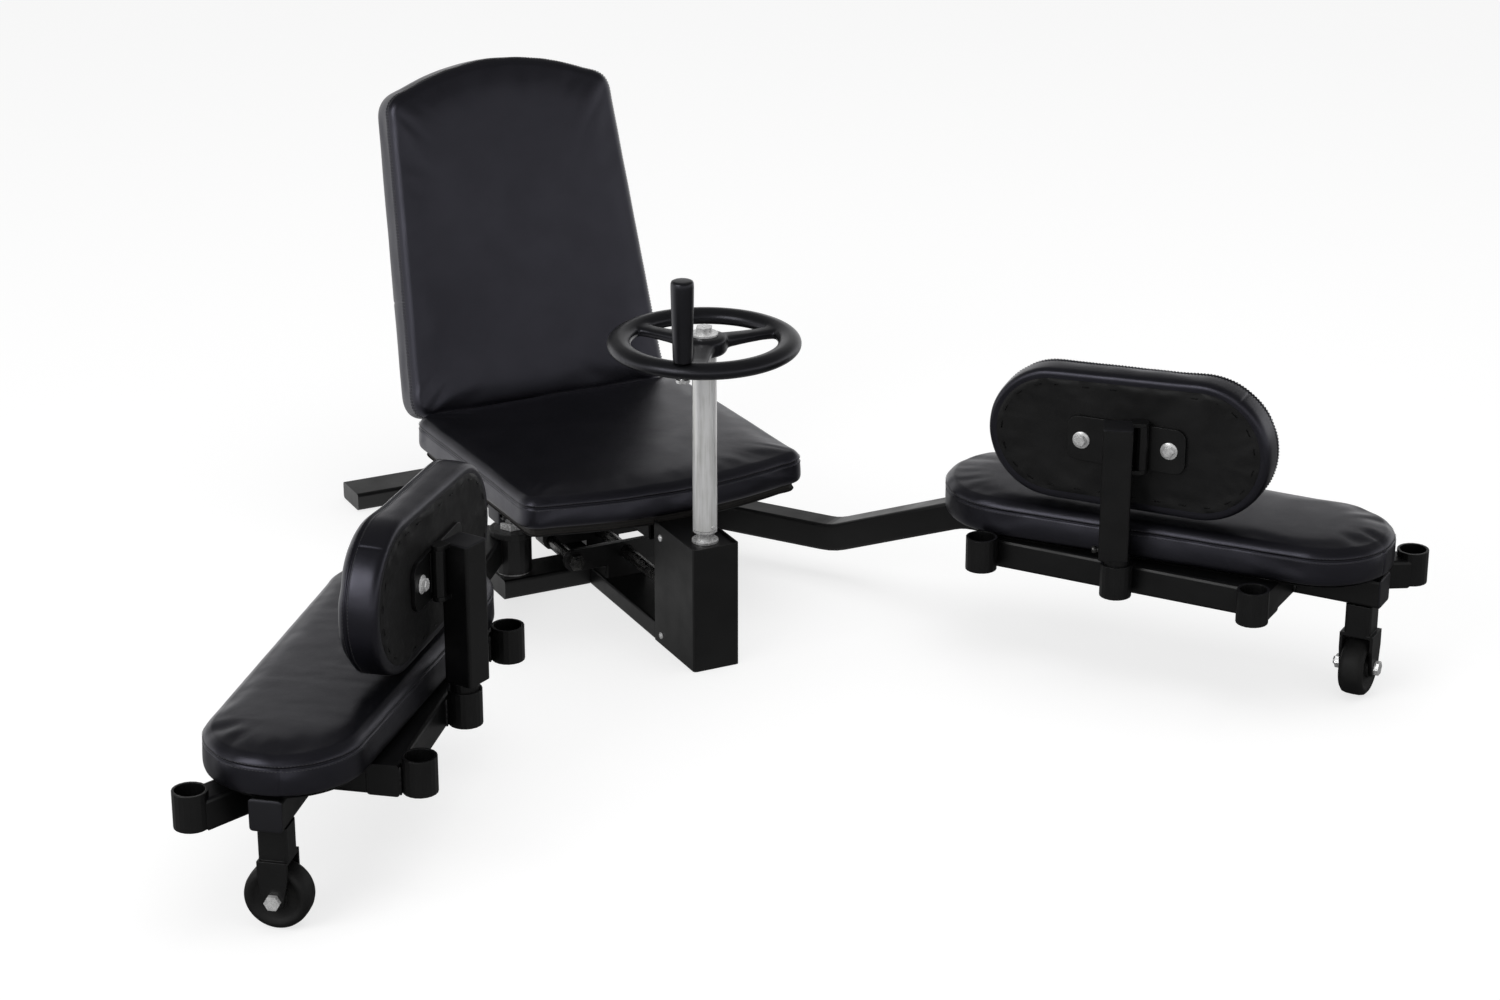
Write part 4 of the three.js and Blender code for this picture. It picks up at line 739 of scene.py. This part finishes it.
def add_stitches(name, body, place, rows, height):
    """One row of stitches just above the seam and one just below it."""
    bm = bmesh.new()
    band, groove, _ = side_levels(height)
    for row in (len(band), len(band) + len(groove) - 1):
        ring = rows[row]
        centre = sum(ring, Vector()) / len(ring)
        reach = [0.0]
        count = len(ring)
        for i in range(count):
            reach.append(reach[-1] + (ring[(i + 1) % count] - ring[i]).length)
        stitches = int(reach[-1] / (4.2 * MM))
        at = 0
        for s in range(stitches):
            want = reach[-1] * s / stitches
            while reach[at + 1] < want:
                at += 1
            a, b = ring[at], ring[(at + 1) % count]
            direction = (b - a).normalized()
            base = a.lerp(b, (want - reach[at]) / max(reach[at + 1] - reach[at], 1e-9))
            outward = Vector((direction.y, -direction.x, 0)).normalized()
            if outward.dot(base - centre) < 0:
                outward.negate()
            add_stitch(bm, base, direction, outward)
    bmesh.ops.transform(bm, matrix=place, verts=bm.verts)
    finish_mesh(name + "_stitches", bm, THREAD, body)


def add_stitch(bm, base, direction, outward):
    """Short thread that lies on the cover and dips into it at both ends."""
    half = 1.35 * MM
    radius = 0.42 * MM
    up = direction.cross(outward)
    rings = []
    for share, size in ((-1, 0.35), (-0.55, 1), (0.55, 1), (1, 0.35)):
        centre = base + direction * half * share + outward * radius * (0.55 * size - 0.25)
        rings.append([
            centre + (outward * math.cos(t) + up * math.sin(t)) * radius * size
            for t in (TAU * k / 5 for k in range(5))
        ])
    add_solid(bm, rings)


def build_backing(name, body, place, outline, ends, z0, inset, seed, bulge, replaced=None):
    """Wrinkled cover over the back of a cushion's board, gathered in folds at its rim and stapled."""
    points, stations, total = even(outline, BACKING_STEP)
    out = normals_of(points)
    medial = medial_of(points, ends)
    start = points - out * inset
    bm = bmesh.new()
    rows = []
    shares = [0, 0.03, 0.06, 0.1, 0.15, 0.2, 0.26, 0.33, 0.41, 0.5, 0.6, 0.71, 0.83, 0.94]
    for share in shares:
        ring = []
        for i, (p, m) in enumerate(zip(start, medial)):
            q = p + (m - p) * share
            angle = stations[i] / total
            folds = max(0, wavy(angle * 46 + seed, 0.5, seed)) * math.exp(-share * 9)
            slack = wavy(q[0] / 26 + seed, q[1] / 20, seed) + 0.5 * wavy(q[0] / 11, q[1] / 10 + seed, 3.1)
            edge = min(1, share * 14)
            taut = 1 - 0.75 * min(1, share / 0.6)
            depth = bulge * (2.2 * folds + 0.55 * (slack + 0.4) * taut) * edge + 0.25
            ring.append(scaled(q[0], q[1], z0 - max(depth, 0.12)))
        rows.append(ring)
    rim = [scaled(*(p + n * 1.2), z0 + 1.5) for p, n in zip(start, out)]
    add_rings(bm, [rim] + rows, False, True)
    split_large_faces(bm)
    bmesh.ops.transform(bm, matrix=place, verts=bm.verts)
    made = finish_mesh(name, bm, BACKING, body)
    if replaced:
        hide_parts(replaced)
    add_staples(name, body, place, points - out * (inset + 7), stations, total, z0)


def add_staples(name, body, place, ring, stations, total, z0, spacing=34):
    """Staples along a ring on the back, with their legs in the board."""
    bm = bmesh.new()
    count = int(total / spacing)
    for s in range(count):
        i = int(np.argmin(np.abs(stations - total * s / count)))
        a, b = ring[i], ring[(i + 1) % len(ring)]
        direction = (b - a) / max(np.linalg.norm(b - a), 1e-9)
        ends = [scaled(*(a + direction * d), z0 - 1.4) for d in (-5, -4.2, 4.2, 5)]
        ends[0].z += 1.6 * MM
        ends[3].z += 1.6 * MM
        rings = []
        for e in ends:
            side = Vector((-direction[1], direction[0], 0)) * 0.5 * MM
            up = Vector((0, 0, 0.4 * MM))
            rings.append([e - side, e - side - up, e + side - up, e + side])
        add_solid(bm, rings)
    bmesh.ops.transform(bm, matrix=place, verts=bm.verts)
    finish_mesh(name + "_staples", bm, BLACK_ZINC, body)


def swelling_of(outline, ends, size, cap):
    points, _, _ = even(outline, OUTLINE_STEP)
    return simulate_cover(points, medial_of(points, ends), size["height"], cap)


def leg_cushions():
    outline = taper_points(LEG_PAD["inner"], LEG_PAD["outer"])
    ends = (LEG_PAD["inner"][:2], LEG_PAD["outer"][:2])
    swell = swelling_of(outline, ends, LEG_PAD, 9)
    for name, (side, rest) in SIDES.items():
        body = f"{name}_leg"
        place = leg_frame(side, rest) @ Matrix.Translation(scaled(0, 0, LEG_PAD["bottom"]))
        wrinkle = leg_wrinkle(3.7 if side > 0 else 8.1)
        build_cushion(
            f"{name}_leg_cushion", body, place, outline, ends, LEG_PAD, wrinkle, (0.085,), swell,
            f"{name}_leg_pad",
        )
        build_backing(
            f"{name}_leg_backing", body, place, outline, ends, -4.6, BOARD_INSET - 1, 5.5 + side, 0.5,
            f"{name}_leg_board",
        )


def side_cushions():
    (x0, z0, r0), (x1, z1, r1) = SIDE_PAD["outer"], SIDE_PAD["inner"]
    a, b = (-x0, z0, r0), (-x1, z1, r1)
    outline = taper_points(a, b)
    ends = (a[:2], b[:2])
    swell = swelling_of(outline, ends, SIDE_PAD, 9)
    for name, (side, _) in SIDES.items():
        body = f"{name}_side"
        place = side_pad_frame(name)
        wrinkle = band_wrinkle(2.4 if side > 0 else 6.6)
        build_cushion(
            f"{name}_side_cushion", body, place, outline, ends, SIDE_PAD, wrinkle, (0.55,), swell,
            f"{name}_side_pad",
        )
        build_backing(
            f"{name}_side_backing", body, place, outline, ends, 0.0, DRAW_IN + 6, 9.3 + side, 2.5,
            f"{name}_side_board",
        )


def base_cushion(name, place, outline, middle_y, size, wrinkle, seams, backing_seed):
    """Seat or backrest, drawn towards the middle of its top, with the cover stapled under its board."""
    ends = ((0, middle_y), (0.01, middle_y))
    swell = swelling_of(outline, ends, size, 11)
    build_cushion(f"{name}_cushion", "base", place, outline, ends, size, wrinkle, seams, swell, f"{name}_pad")
    z0 = -0.3 - BOARD_THICKNESS
    build_backing(f"{name}_backing", "base", place, outline, ends, z0, BOARD_INSET - 0.6, backing_seed, 0.25)


def seat_cushion():
    middle_y = (SEAT["front"] + SEAT["rear"]) / 2 - 8
    wrinkle = band_wrinkle(1.1, 0.5)
    base_cushion("seat", seat_frame(), seat_points(), middle_y, SEAT, wrinkle, (0.27, 0.73), 4.4)


def back_cushion():
    middle_y = (BACK["side"] - BACK["below"]) / 2 + 10
    wrinkle = band_wrinkle(7.3)
    base_cushion("backrest", back_frame(), back_points(), middle_y, BACK, wrinkle, (0.12, 0.88), 2.4)


# Hand wheel and column


def hand_wheel():
    """Rim, hub and spokes melted into one moulding with soft inner corners."""
    bm = bmesh.new()
    rim = []
    for i in range(96):
        t = TAU * i / 96
        ring = []
        for k in range(20):
            s = TAU * k / 20
            r = RIM["radius"] + RIM["half_width"] * math.cos(s)
            ring.append(scaled(r * math.cos(t), r * math.sin(t), RIM["z"] + RIM["half_height"] * math.sin(s)))
        rim.append(ring)
    add_ring_solid(bm, rim)
    hub = [(20, 414.4), (25, 415.4), (28.6, 419), (29, 424), (29, 431), (28.2, 435), (25, 437.6), (20, 438.3)]
    add_turned(bm, hub, 64)
    for k in range(3):
        add_spoke(bm, k * TAU / 3)
    bmesh.ops.transform(bm, matrix=Matrix.Translation(scaled(0, COLUMN["y"], 0)), verts=bm.verts)
    bmesh.ops.recalc_face_normals(bm, faces=bm.faces)
    mesh = bpy.data.meshes.new("hand_wheel")
    bm.to_mesh(mesh)
    bm.free()
    made = bpy.data.objects.new("hand_wheel", mesh)
    bpy.context.scene.collection.objects.link(made)
    melt = made.modifiers.new("melt", "REMESH")
    melt.mode = "VOXEL"
    melt.voxel_size = 0.0016
    soften = made.modifiers.new("soften", "SMOOTH")
    soften.factor = 0.5
    soften.iterations = 12
    graph = bpy.context.evaluated_depsgraph_get()
    moulded = bpy.data.meshes.new_from_object(made.evaluated_get(graph))
    made.modifiers.clear()
    made.data = moulded
    for poly in moulded.polygons:
        poly.use_smooth = True
    moulded.materials.clear()
    moulded.materials.append(PLASTIC)
    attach(made, "column")
    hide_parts("handwheel")


def add_spoke(bm, angle):
    """Spoke of oval sections that widen towards the hub and the rim."""
    rings = []
    turn = Matrix.Rotation(angle, 3, "Z")
    sections = ((20, 31, 17), (34, 27, 15), (55, 24, 13), (76, 22.5, 12), (88, 24, 13), (98, 28, 15))
    for x, width, height in sections:
        ring = []
        for k in range(16):
            s = TAU * k / 16
            c, d = math.cos(s), math.sin(s)
            y = width / 2 * math.copysign(abs(c) ** 0.55, c)
            z = height / 2 * math.copysign(abs(d) ** 0.7, d)
            ring.append((turn @ Vector((x, y, RIM["z"] - 0.5 + z))) * MM)
        rings.append(ring)
    add_solid(bm, rings)


def handle():
    bm = bmesh.new()
    base, top = 438.9, 542.0
    profile = [
        (9.4, base), (11.6, base + 0.8), (12.1, base + 5), (12.8, base + 30), (13.6, base + 60),
        (14.1, base + 84), (14.25, base + 95), (14.0, top - 3.2), (13.2, top - 1.2), (11.6, top - 0.3),
        (9, top),
    ]
    angle = math.radians(GRIP_ANGLE)
    radius = RIM["radius"]
    place = Matrix.Translation(scaled(radius * math.cos(angle), COLUMN["y"] + radius * math.sin(angle), 0))
    add_turned(bm, profile, 56, place)
    made = finish_mesh("grip", bm, PLASTIC, "grip")
    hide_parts("handle_grip")


def chrome_column():
    bm = bmesh.new()
    low, high, radius = COLUMN["bottom"], COLUMN["top"], COLUMN["radius"]
    levels = [low + 0.5] + [low + 4 + (high - low - 8) * i / 24 for i in range(25)] + [high - 0.5]
    outer = [(radius - 0.5, low)] + [(radius, z) for z in levels] + [(radius - 0.5, high)]
    bore = [(COLUMN["bore"], high), (COLUMN["bore"], low)]
    add_ring_solid(bm, [circle(r, z, 72) for r, z in outer + bore])
    bmesh.ops.transform(bm, matrix=Matrix.Translation(scaled(0, COLUMN["y"], 0)), verts=bm.verts)
    made = finish_mesh("chrome_tube", bm, CHROME, "column")
    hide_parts("column_tube")
    bm = bmesh.new()
    for turn in (-75, 105):
        a = math.radians(turn)
        out = Vector((math.cos(a), math.sin(a), 0))
        at = Vector((0, COLUMN["y"], COLUMN["rivets"])) + out * (radius - 0.2)
        add_turned(bm, [(2.6, 0), (2.5, 0.6), (1.6, 1.3), (0.4, 1.5)], 16, along(at, out))
    finish_mesh("column_rivets", bm, ZINC, "column")


# Casters


def caster_wheels():
    half_tread = [
        (13, 16.6), (13.8, 15.8), (14, 12.6), (24, 12.2), (26, 13.6), (30, 15.6), (33, 15.4), (36.6, 12.6),
        (37.7, 8),
    ]
    tread = [(r, -h) for r, h in half_tread] + [(38, 0)] + half_tread[::-1]
    bore = [(5.6, 16.6), (5.6, -16.6)]
    for name, (side, rest) in SIDES.items():
        bm = bmesh.new()
        add_ring_solid(bm, [circle(r, h, 72) for r, h in tread + bore])
        bmesh.ops.transform(bm, matrix=leg_frame(side, rest) @ along(CASTER, (1, 0, 0)), verts=bm.verts)
        made = finish_mesh(f"{name}_caster_tyre", bm, RUBBER, f"{name}_wheel")
        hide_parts(f"{name}_caster_wheel")


# Small fittings


def side_plate_bolts():
    for name in SIDES:
        bm = bmesh.new()
        for x, z in ((32.4, 317.6), (-80.8, 315)):
            place = standing_frame(name, HINGE) @ along((x, HINGE["plate"], z), (0, -1, 0))
            add_hex_bolt(bm, place, 13, 5.4, 11, 1.6)
        finish_mesh(f"{name}_side_bolts", bm, ZINC, f"{name}_side")


def post_screws():
    """Set screw through the foot of each post, with its head outside."""
    profile = [(3.6, 0), (3.6, 2.4), (4.6, 2.6), (4.8, 3.2), (4.8, 7.4), (4.2, 8.2), (2.4, 8.3), (2.2, 6.8)]
    for name in SIDES:
        bm = bmesh.new()
        foot = (-POST["size"] / 2, 5, POST["bottom"] + 6)
        add_turned(bm, profile, 24, standing_frame(name, POST) @ along(foot, (-1, 0, 0)))
        finish_mesh(f"{name}_post_screw", bm, DARK_ZINC, f"{name}_post")


def gearbox_screws():
    bm = bmesh.new()
    profile = [(4.6, 0), (4.6, 0.5), (3.9, 1.6), (2.2, 2.3), (1.2, 2.4)]
    for side in (-1, 1):
        for z in (149, 13):
            add_turned(bm, profile, 20, along((side * GEARBOX_HALF, -270, z), (side, 0, 0)))
    finish_mesh("gearbox_screws", bm, ZINC, "base")


def socket_welds():
    """Beads up both sides of each socket and where the cross tubes meet the arm and the rail."""
    arm_side = ARM["aside"] - ARM["size"] / 2
    rail_side = RAIL_ASIDE + ARM["size"] / 2
    top = ARM["bottom"] + ARM["size"]
    low, high = ARM["bottom"] + 2, top - 2
    corners = [(u + sign * 11, SOCKET_ASIDE + 19.2) for u in SOCKETS for sign in (-1, 1)]
    for u, inwards in zip(CROSS_TUBES, (1, -1)):
        corners += [(u + sign * 20, arm_side - 0.5) for sign in (-1, 1)]
        corners.append((u + inwards * 19.4, rail_side + 0.2))
    for name, (side, rest) in SIDES.items():
        bm = bmesh.new()
        for u in CROSS_TUBES:
            for v in (arm_side - 0.3, rail_side - 0.2):
                bead(bm, line_points((u - 17, v, top), (u + 17, v, top)), 2, 5)
        for k, (u, v) in enumerate(corners):
            bead(bm, line_points((u, v, low), (u, v, high)), 2.8, 11 * k)
        bmesh.ops.transform(bm, matrix=leg_frame(side, rest), verts=bm.verts)
        finish_mesh(f"{name}_welds", bm, STEEL, f"{name}_leg")


def rounded_outline(width, depth, corner, z):
    ring = []
    for cx, cy, start in ((1, 1, 0), (-1, 1, 90), (-1, -1, 180), (1, -1, 270)):
        for i in range(5):
            t = math.radians(start + 22.5 * i)
            x = cx * (width / 2 - corner) + corner * math.cos(t)
            ring.append(scaled(x, cy * (depth / 2 - corner) + corner * math.sin(t), z))
    return ring


def tube_cap(bm, place, width, depth, lip, corner):
    """Plastic plug with a rounded lip over the end of a tube; place has +Z out of the tube."""
    sections = [
        (5.4, 0.5, -8), (5.4, 0.5, 0), (0, 1, 0), (0, 1, lip * 0.55), (1.4, 0.9, lip), (6, 0.7, lip + 0.25),
    ]
    add_solid(bm, [
        rounded_outline(width - less, depth - less, corner * share, z) for less, share, z in sections
    ], place)


def rail_plates():
    """Thin plates that close the rail's open ends, flush with the cross tubes' sides."""
    size = ARM["size"]
    for name, (side, rest) in SIDES.items():
        bm = bmesh.new()
        for u, sign in zip(CROSS_TUBES, (-1, 1)):
            centre = (u + sign * 19.1, RAIL_ASIDE, ARM["bottom"] + size / 2)
            place = leg_frame(side, rest) @ along(centre, (sign, 0, 0))
            add_solid(bm, [rounded_outline(size, size, 4, z) for z in (-0.05, 0.35)], place)
        finish_mesh(f"{name}_rail_plates", bm, STEEL, f"{name}_leg")


def post_caps():
    for name in SIDES:
        bm = bmesh.new()
        place = standing_frame(name, POST) @ Matrix.Translation(scaled(0, 0, POST["top"] + 0.1))
        tube_cap(bm, place, POST["size"], POST["size"], 1.4, 3)
        finish_mesh(f"{name}_post_cap", bm, CAP, f"{name}_post")


def tube_caps():
    """Plugs in the arms' outer ends and in both ends of the beam under the seat."""
    for name, (side, rest) in SIDES.items():
        bm = bmesh.new()
        centre = (ARM["end"] + 0.2, ARM["aside"], ARM["bottom"] + ARM["size"] / 2)
        tube_cap(bm, leg_frame(side, rest) @ along(centre, (1, 0, 0)), ARM["size"], ARM["size"], 1.6, 4)
        finish_mesh(f"{name}_arm_cap", bm, CAP, f"{name}_leg")
    bm = bmesh.new()
    for sign in (-1, 1):
        tube_cap(bm, along((sign * 156.2, PIVOT_Y, 132.9), (sign, 0, 0)), 37.8, 60, 1.6, 3)
    finish_mesh("beam_caps", bm, CAP, "base")


# Stage


def camera():
    azimuth, elevation, roll = (math.radians(CAMERA[key]) for key in ("azimuth", "elevation", "roll"))
    level = math.cos(elevation)
    back = Vector((math.sin(azimuth) * level, -math.cos(azimuth) * level, math.sin(elevation)))
    right = Vector((0, 0, 1)).cross(back).normalized()
    up = back.cross(right)
    c, s = math.cos(roll), math.sin(roll)
    right, up = right * c + up * s, up * c - right * s
    turn = Matrix((right, up, back)).transposed().to_4x4()
    data = bpy.data.cameras.new("camera")
    data.sensor_fit = "HORIZONTAL"
    data.sensor_width = 36
    data.lens = CAMERA["focal"] * data.sensor_width / PHOTO_WIDTH
    data.clip_end = 60
    made = bpy.data.objects.new("camera", data)
    made.matrix_world = Matrix.Translation(scaled(*CAMERA["place"])) @ turn
    bpy.context.scene.collection.objects.link(made)
    bpy.context.scene.camera = made


def seen_ray(tree, kinds=("Is Camera Ray", "Is Glossy Ray", "Is Transmission Ray")):
    """1 for rays of the given kinds, and 0 for those that light the object."""
    path = node(tree, "ShaderNodeLightPath")
    most = path.outputs[kinds[0]]
    for other in kinds[1:]:
        larger = node(tree, "ShaderNodeMath", operation="MAXIMUM")
        tree.links.new(most, larger.inputs[0])
        tree.links.new(path.outputs[other], larger.inputs[1])
        most = larger.outputs["Value"]
    return most


def backdrop_color(tree, low=0.16, high=0.46, ceiling=0.13):
    """White up to a little above the horizon, then the dim ceiling of the studio."""
    coord = node(tree, "ShaderNodeTexCoord")
    parts = node(tree, "ShaderNodeSeparateXYZ")
    tree.links.new(coord.outputs["Generated"], parts.inputs["Vector"])
    height = ranged(tree, parts.outputs["Z"], 1.0, ceiling, low, high)
    color = node(tree, "ShaderNodeCombineColor")
    for channel in ("Red", "Green", "Blue"):
        tree.links.new(height, color.inputs[channel])
    return color.outputs["Color"]


def surroundings(fill=0.5):
    world = bpy.data.worlds.new("studio")
    bpy.context.scene.world = world
    world.use_nodes = True
    tree = world.node_tree
    tree.nodes.clear()
    light = node(tree, "ShaderNodeBackground", {"Color": (1, 1, 1, 1), "Strength": fill})
    backdrop = node(tree, "ShaderNodeBackground", {"Strength": 1.0})
    tree.links.new(backdrop_color(tree), backdrop.inputs["Color"])
    mix = node(tree, "ShaderNodeMixShader")
    tree.links.new(seen_ray(tree), mix.inputs["Fac"])
    tree.links.new(light.outputs["Background"], mix.inputs[1])
    tree.links.new(backdrop.outputs["Background"], mix.inputs[2])
    tree.links.new(mix.outputs["Shader"], node(tree, "ShaderNodeOutputWorld").inputs["Surface"])


def lit_and_glowing(tree, shade, glow):
    """Matt floor with a glow; a glow given as two values rises from the front to the back, which paints shade
    on the front.
    """
    matt = node(tree, "ShaderNodeBsdfDiffuse", {"Color": (shade, shade, shade, 1)})
    light = node(tree, "ShaderNodeEmission", {"Color": (1, 1, 1, 1)})
    if isinstance(glow, tuple):
        coord = node(tree, "ShaderNodeTexCoord")
        parts = node(tree, "ShaderNodeSeparateXYZ")
        tree.links.new(coord.outputs["Object"], parts.inputs["Vector"])
        tree.links.new(ranged(tree, parts.outputs["Y"], *glow, *PAINTED_SHADE_SPAN), light.inputs["Strength"])
    else:
        light.inputs["Strength"].default_value = glow
    both = node(tree, "ShaderNodeAddShader")
    tree.links.new(matt.outputs["BSDF"], both.inputs[0])
    tree.links.new(light.outputs["Emission"], both.inputs[1])
    return both.outputs["Shader"]


def floor(shade=0.35, mirrored_shade=0.17, mirrored_glow_painted_shade=(0.0, 0.9), plain_shade=0.72):
    """White to the camera with a pale shadow; metal sees it with its real shadow and with a painted shade in
    front, where its glow fades out.
    """
    mesh = bpy.data.meshes.new("floor")
    half, level = 14, -0.0006
    corners = [(x, y, level) for x, y in ((-half, -half), (half, -half), (half, half), (-half, half))]
    mesh.from_pydata(corners, [], [(0, 1, 2, 3)])
    made = bpy.data.objects.new("floor", mesh)
    bpy.context.scene.collection.objects.link(made)
    mat = bpy.data.materials.new("floor_white")
    mat.use_nodes = True
    tree = mat.node_tree
    tree.nodes.clear()
    shader = lit_and_glowing(tree, plain_shade, 0.0)
    # Glossy and transmission rays see a painted shade: the floor's glow fades out in front of the machine and
    # rises to white behind it.
    for kinds, values in (
        (("Is Glossy Ray", "Is Transmission Ray"), (mirrored_shade, mirrored_glow_painted_shade)),
        (("Is Camera Ray",), (shade, 1.02 - 0.85 * shade)),
    ):
        mix = node(tree, "ShaderNodeMixShader")
        tree.links.new(seen_ray(tree, kinds), mix.inputs["Fac"])
        tree.links.new(shader, mix.inputs[1])
        tree.links.new(lit_and_glowing(tree, *values), mix.inputs[2])
        shader = mix.outputs["Shader"]
    tree.links.new(shader, node(tree, "ShaderNodeOutputMaterial").inputs["Surface"])
    mesh.materials.append(mat)


def lamp(name, place, target, size, power, mirrored=True):
    data = bpy.data.lights.new(name, "AREA")
    data.shape = "RECTANGLE"
    data.size, data.size_y = size
    data.energy = power
    made = bpy.data.objects.new(name, data)
    made.location = place
    made.rotation_euler = (Vector(target) - Vector(place)).to_track_quat("-Z", "Y").to_euler()
    made.visible_glossy = mirrored
    bpy.context.scene.collection.objects.link(made)


def studio():
    surroundings()
    floor()
    lamp("left_softbox", (-3.4, -1.6, 2.4), (0, -0.2, 0.2), (2.2, 1.8), 46)
    lamp("top_softbox", (0.4, -0.8, 3.4), (0, -0.3, 0), (2.8, 2.4), 42, False)
    bpy.context.scene.view_settings.view_transform = "Standard"


camera()
studio()
dress_cad_nodes()
back_cushion()
seat_cushion()
leg_cushions()
side_cushions()
hand_wheel()
handle()
chrome_column()
caster_wheels()
side_plate_bolts()
post_screws()
gearbox_screws()
socket_welds()
post_caps()
tube_caps()
rail_plates()
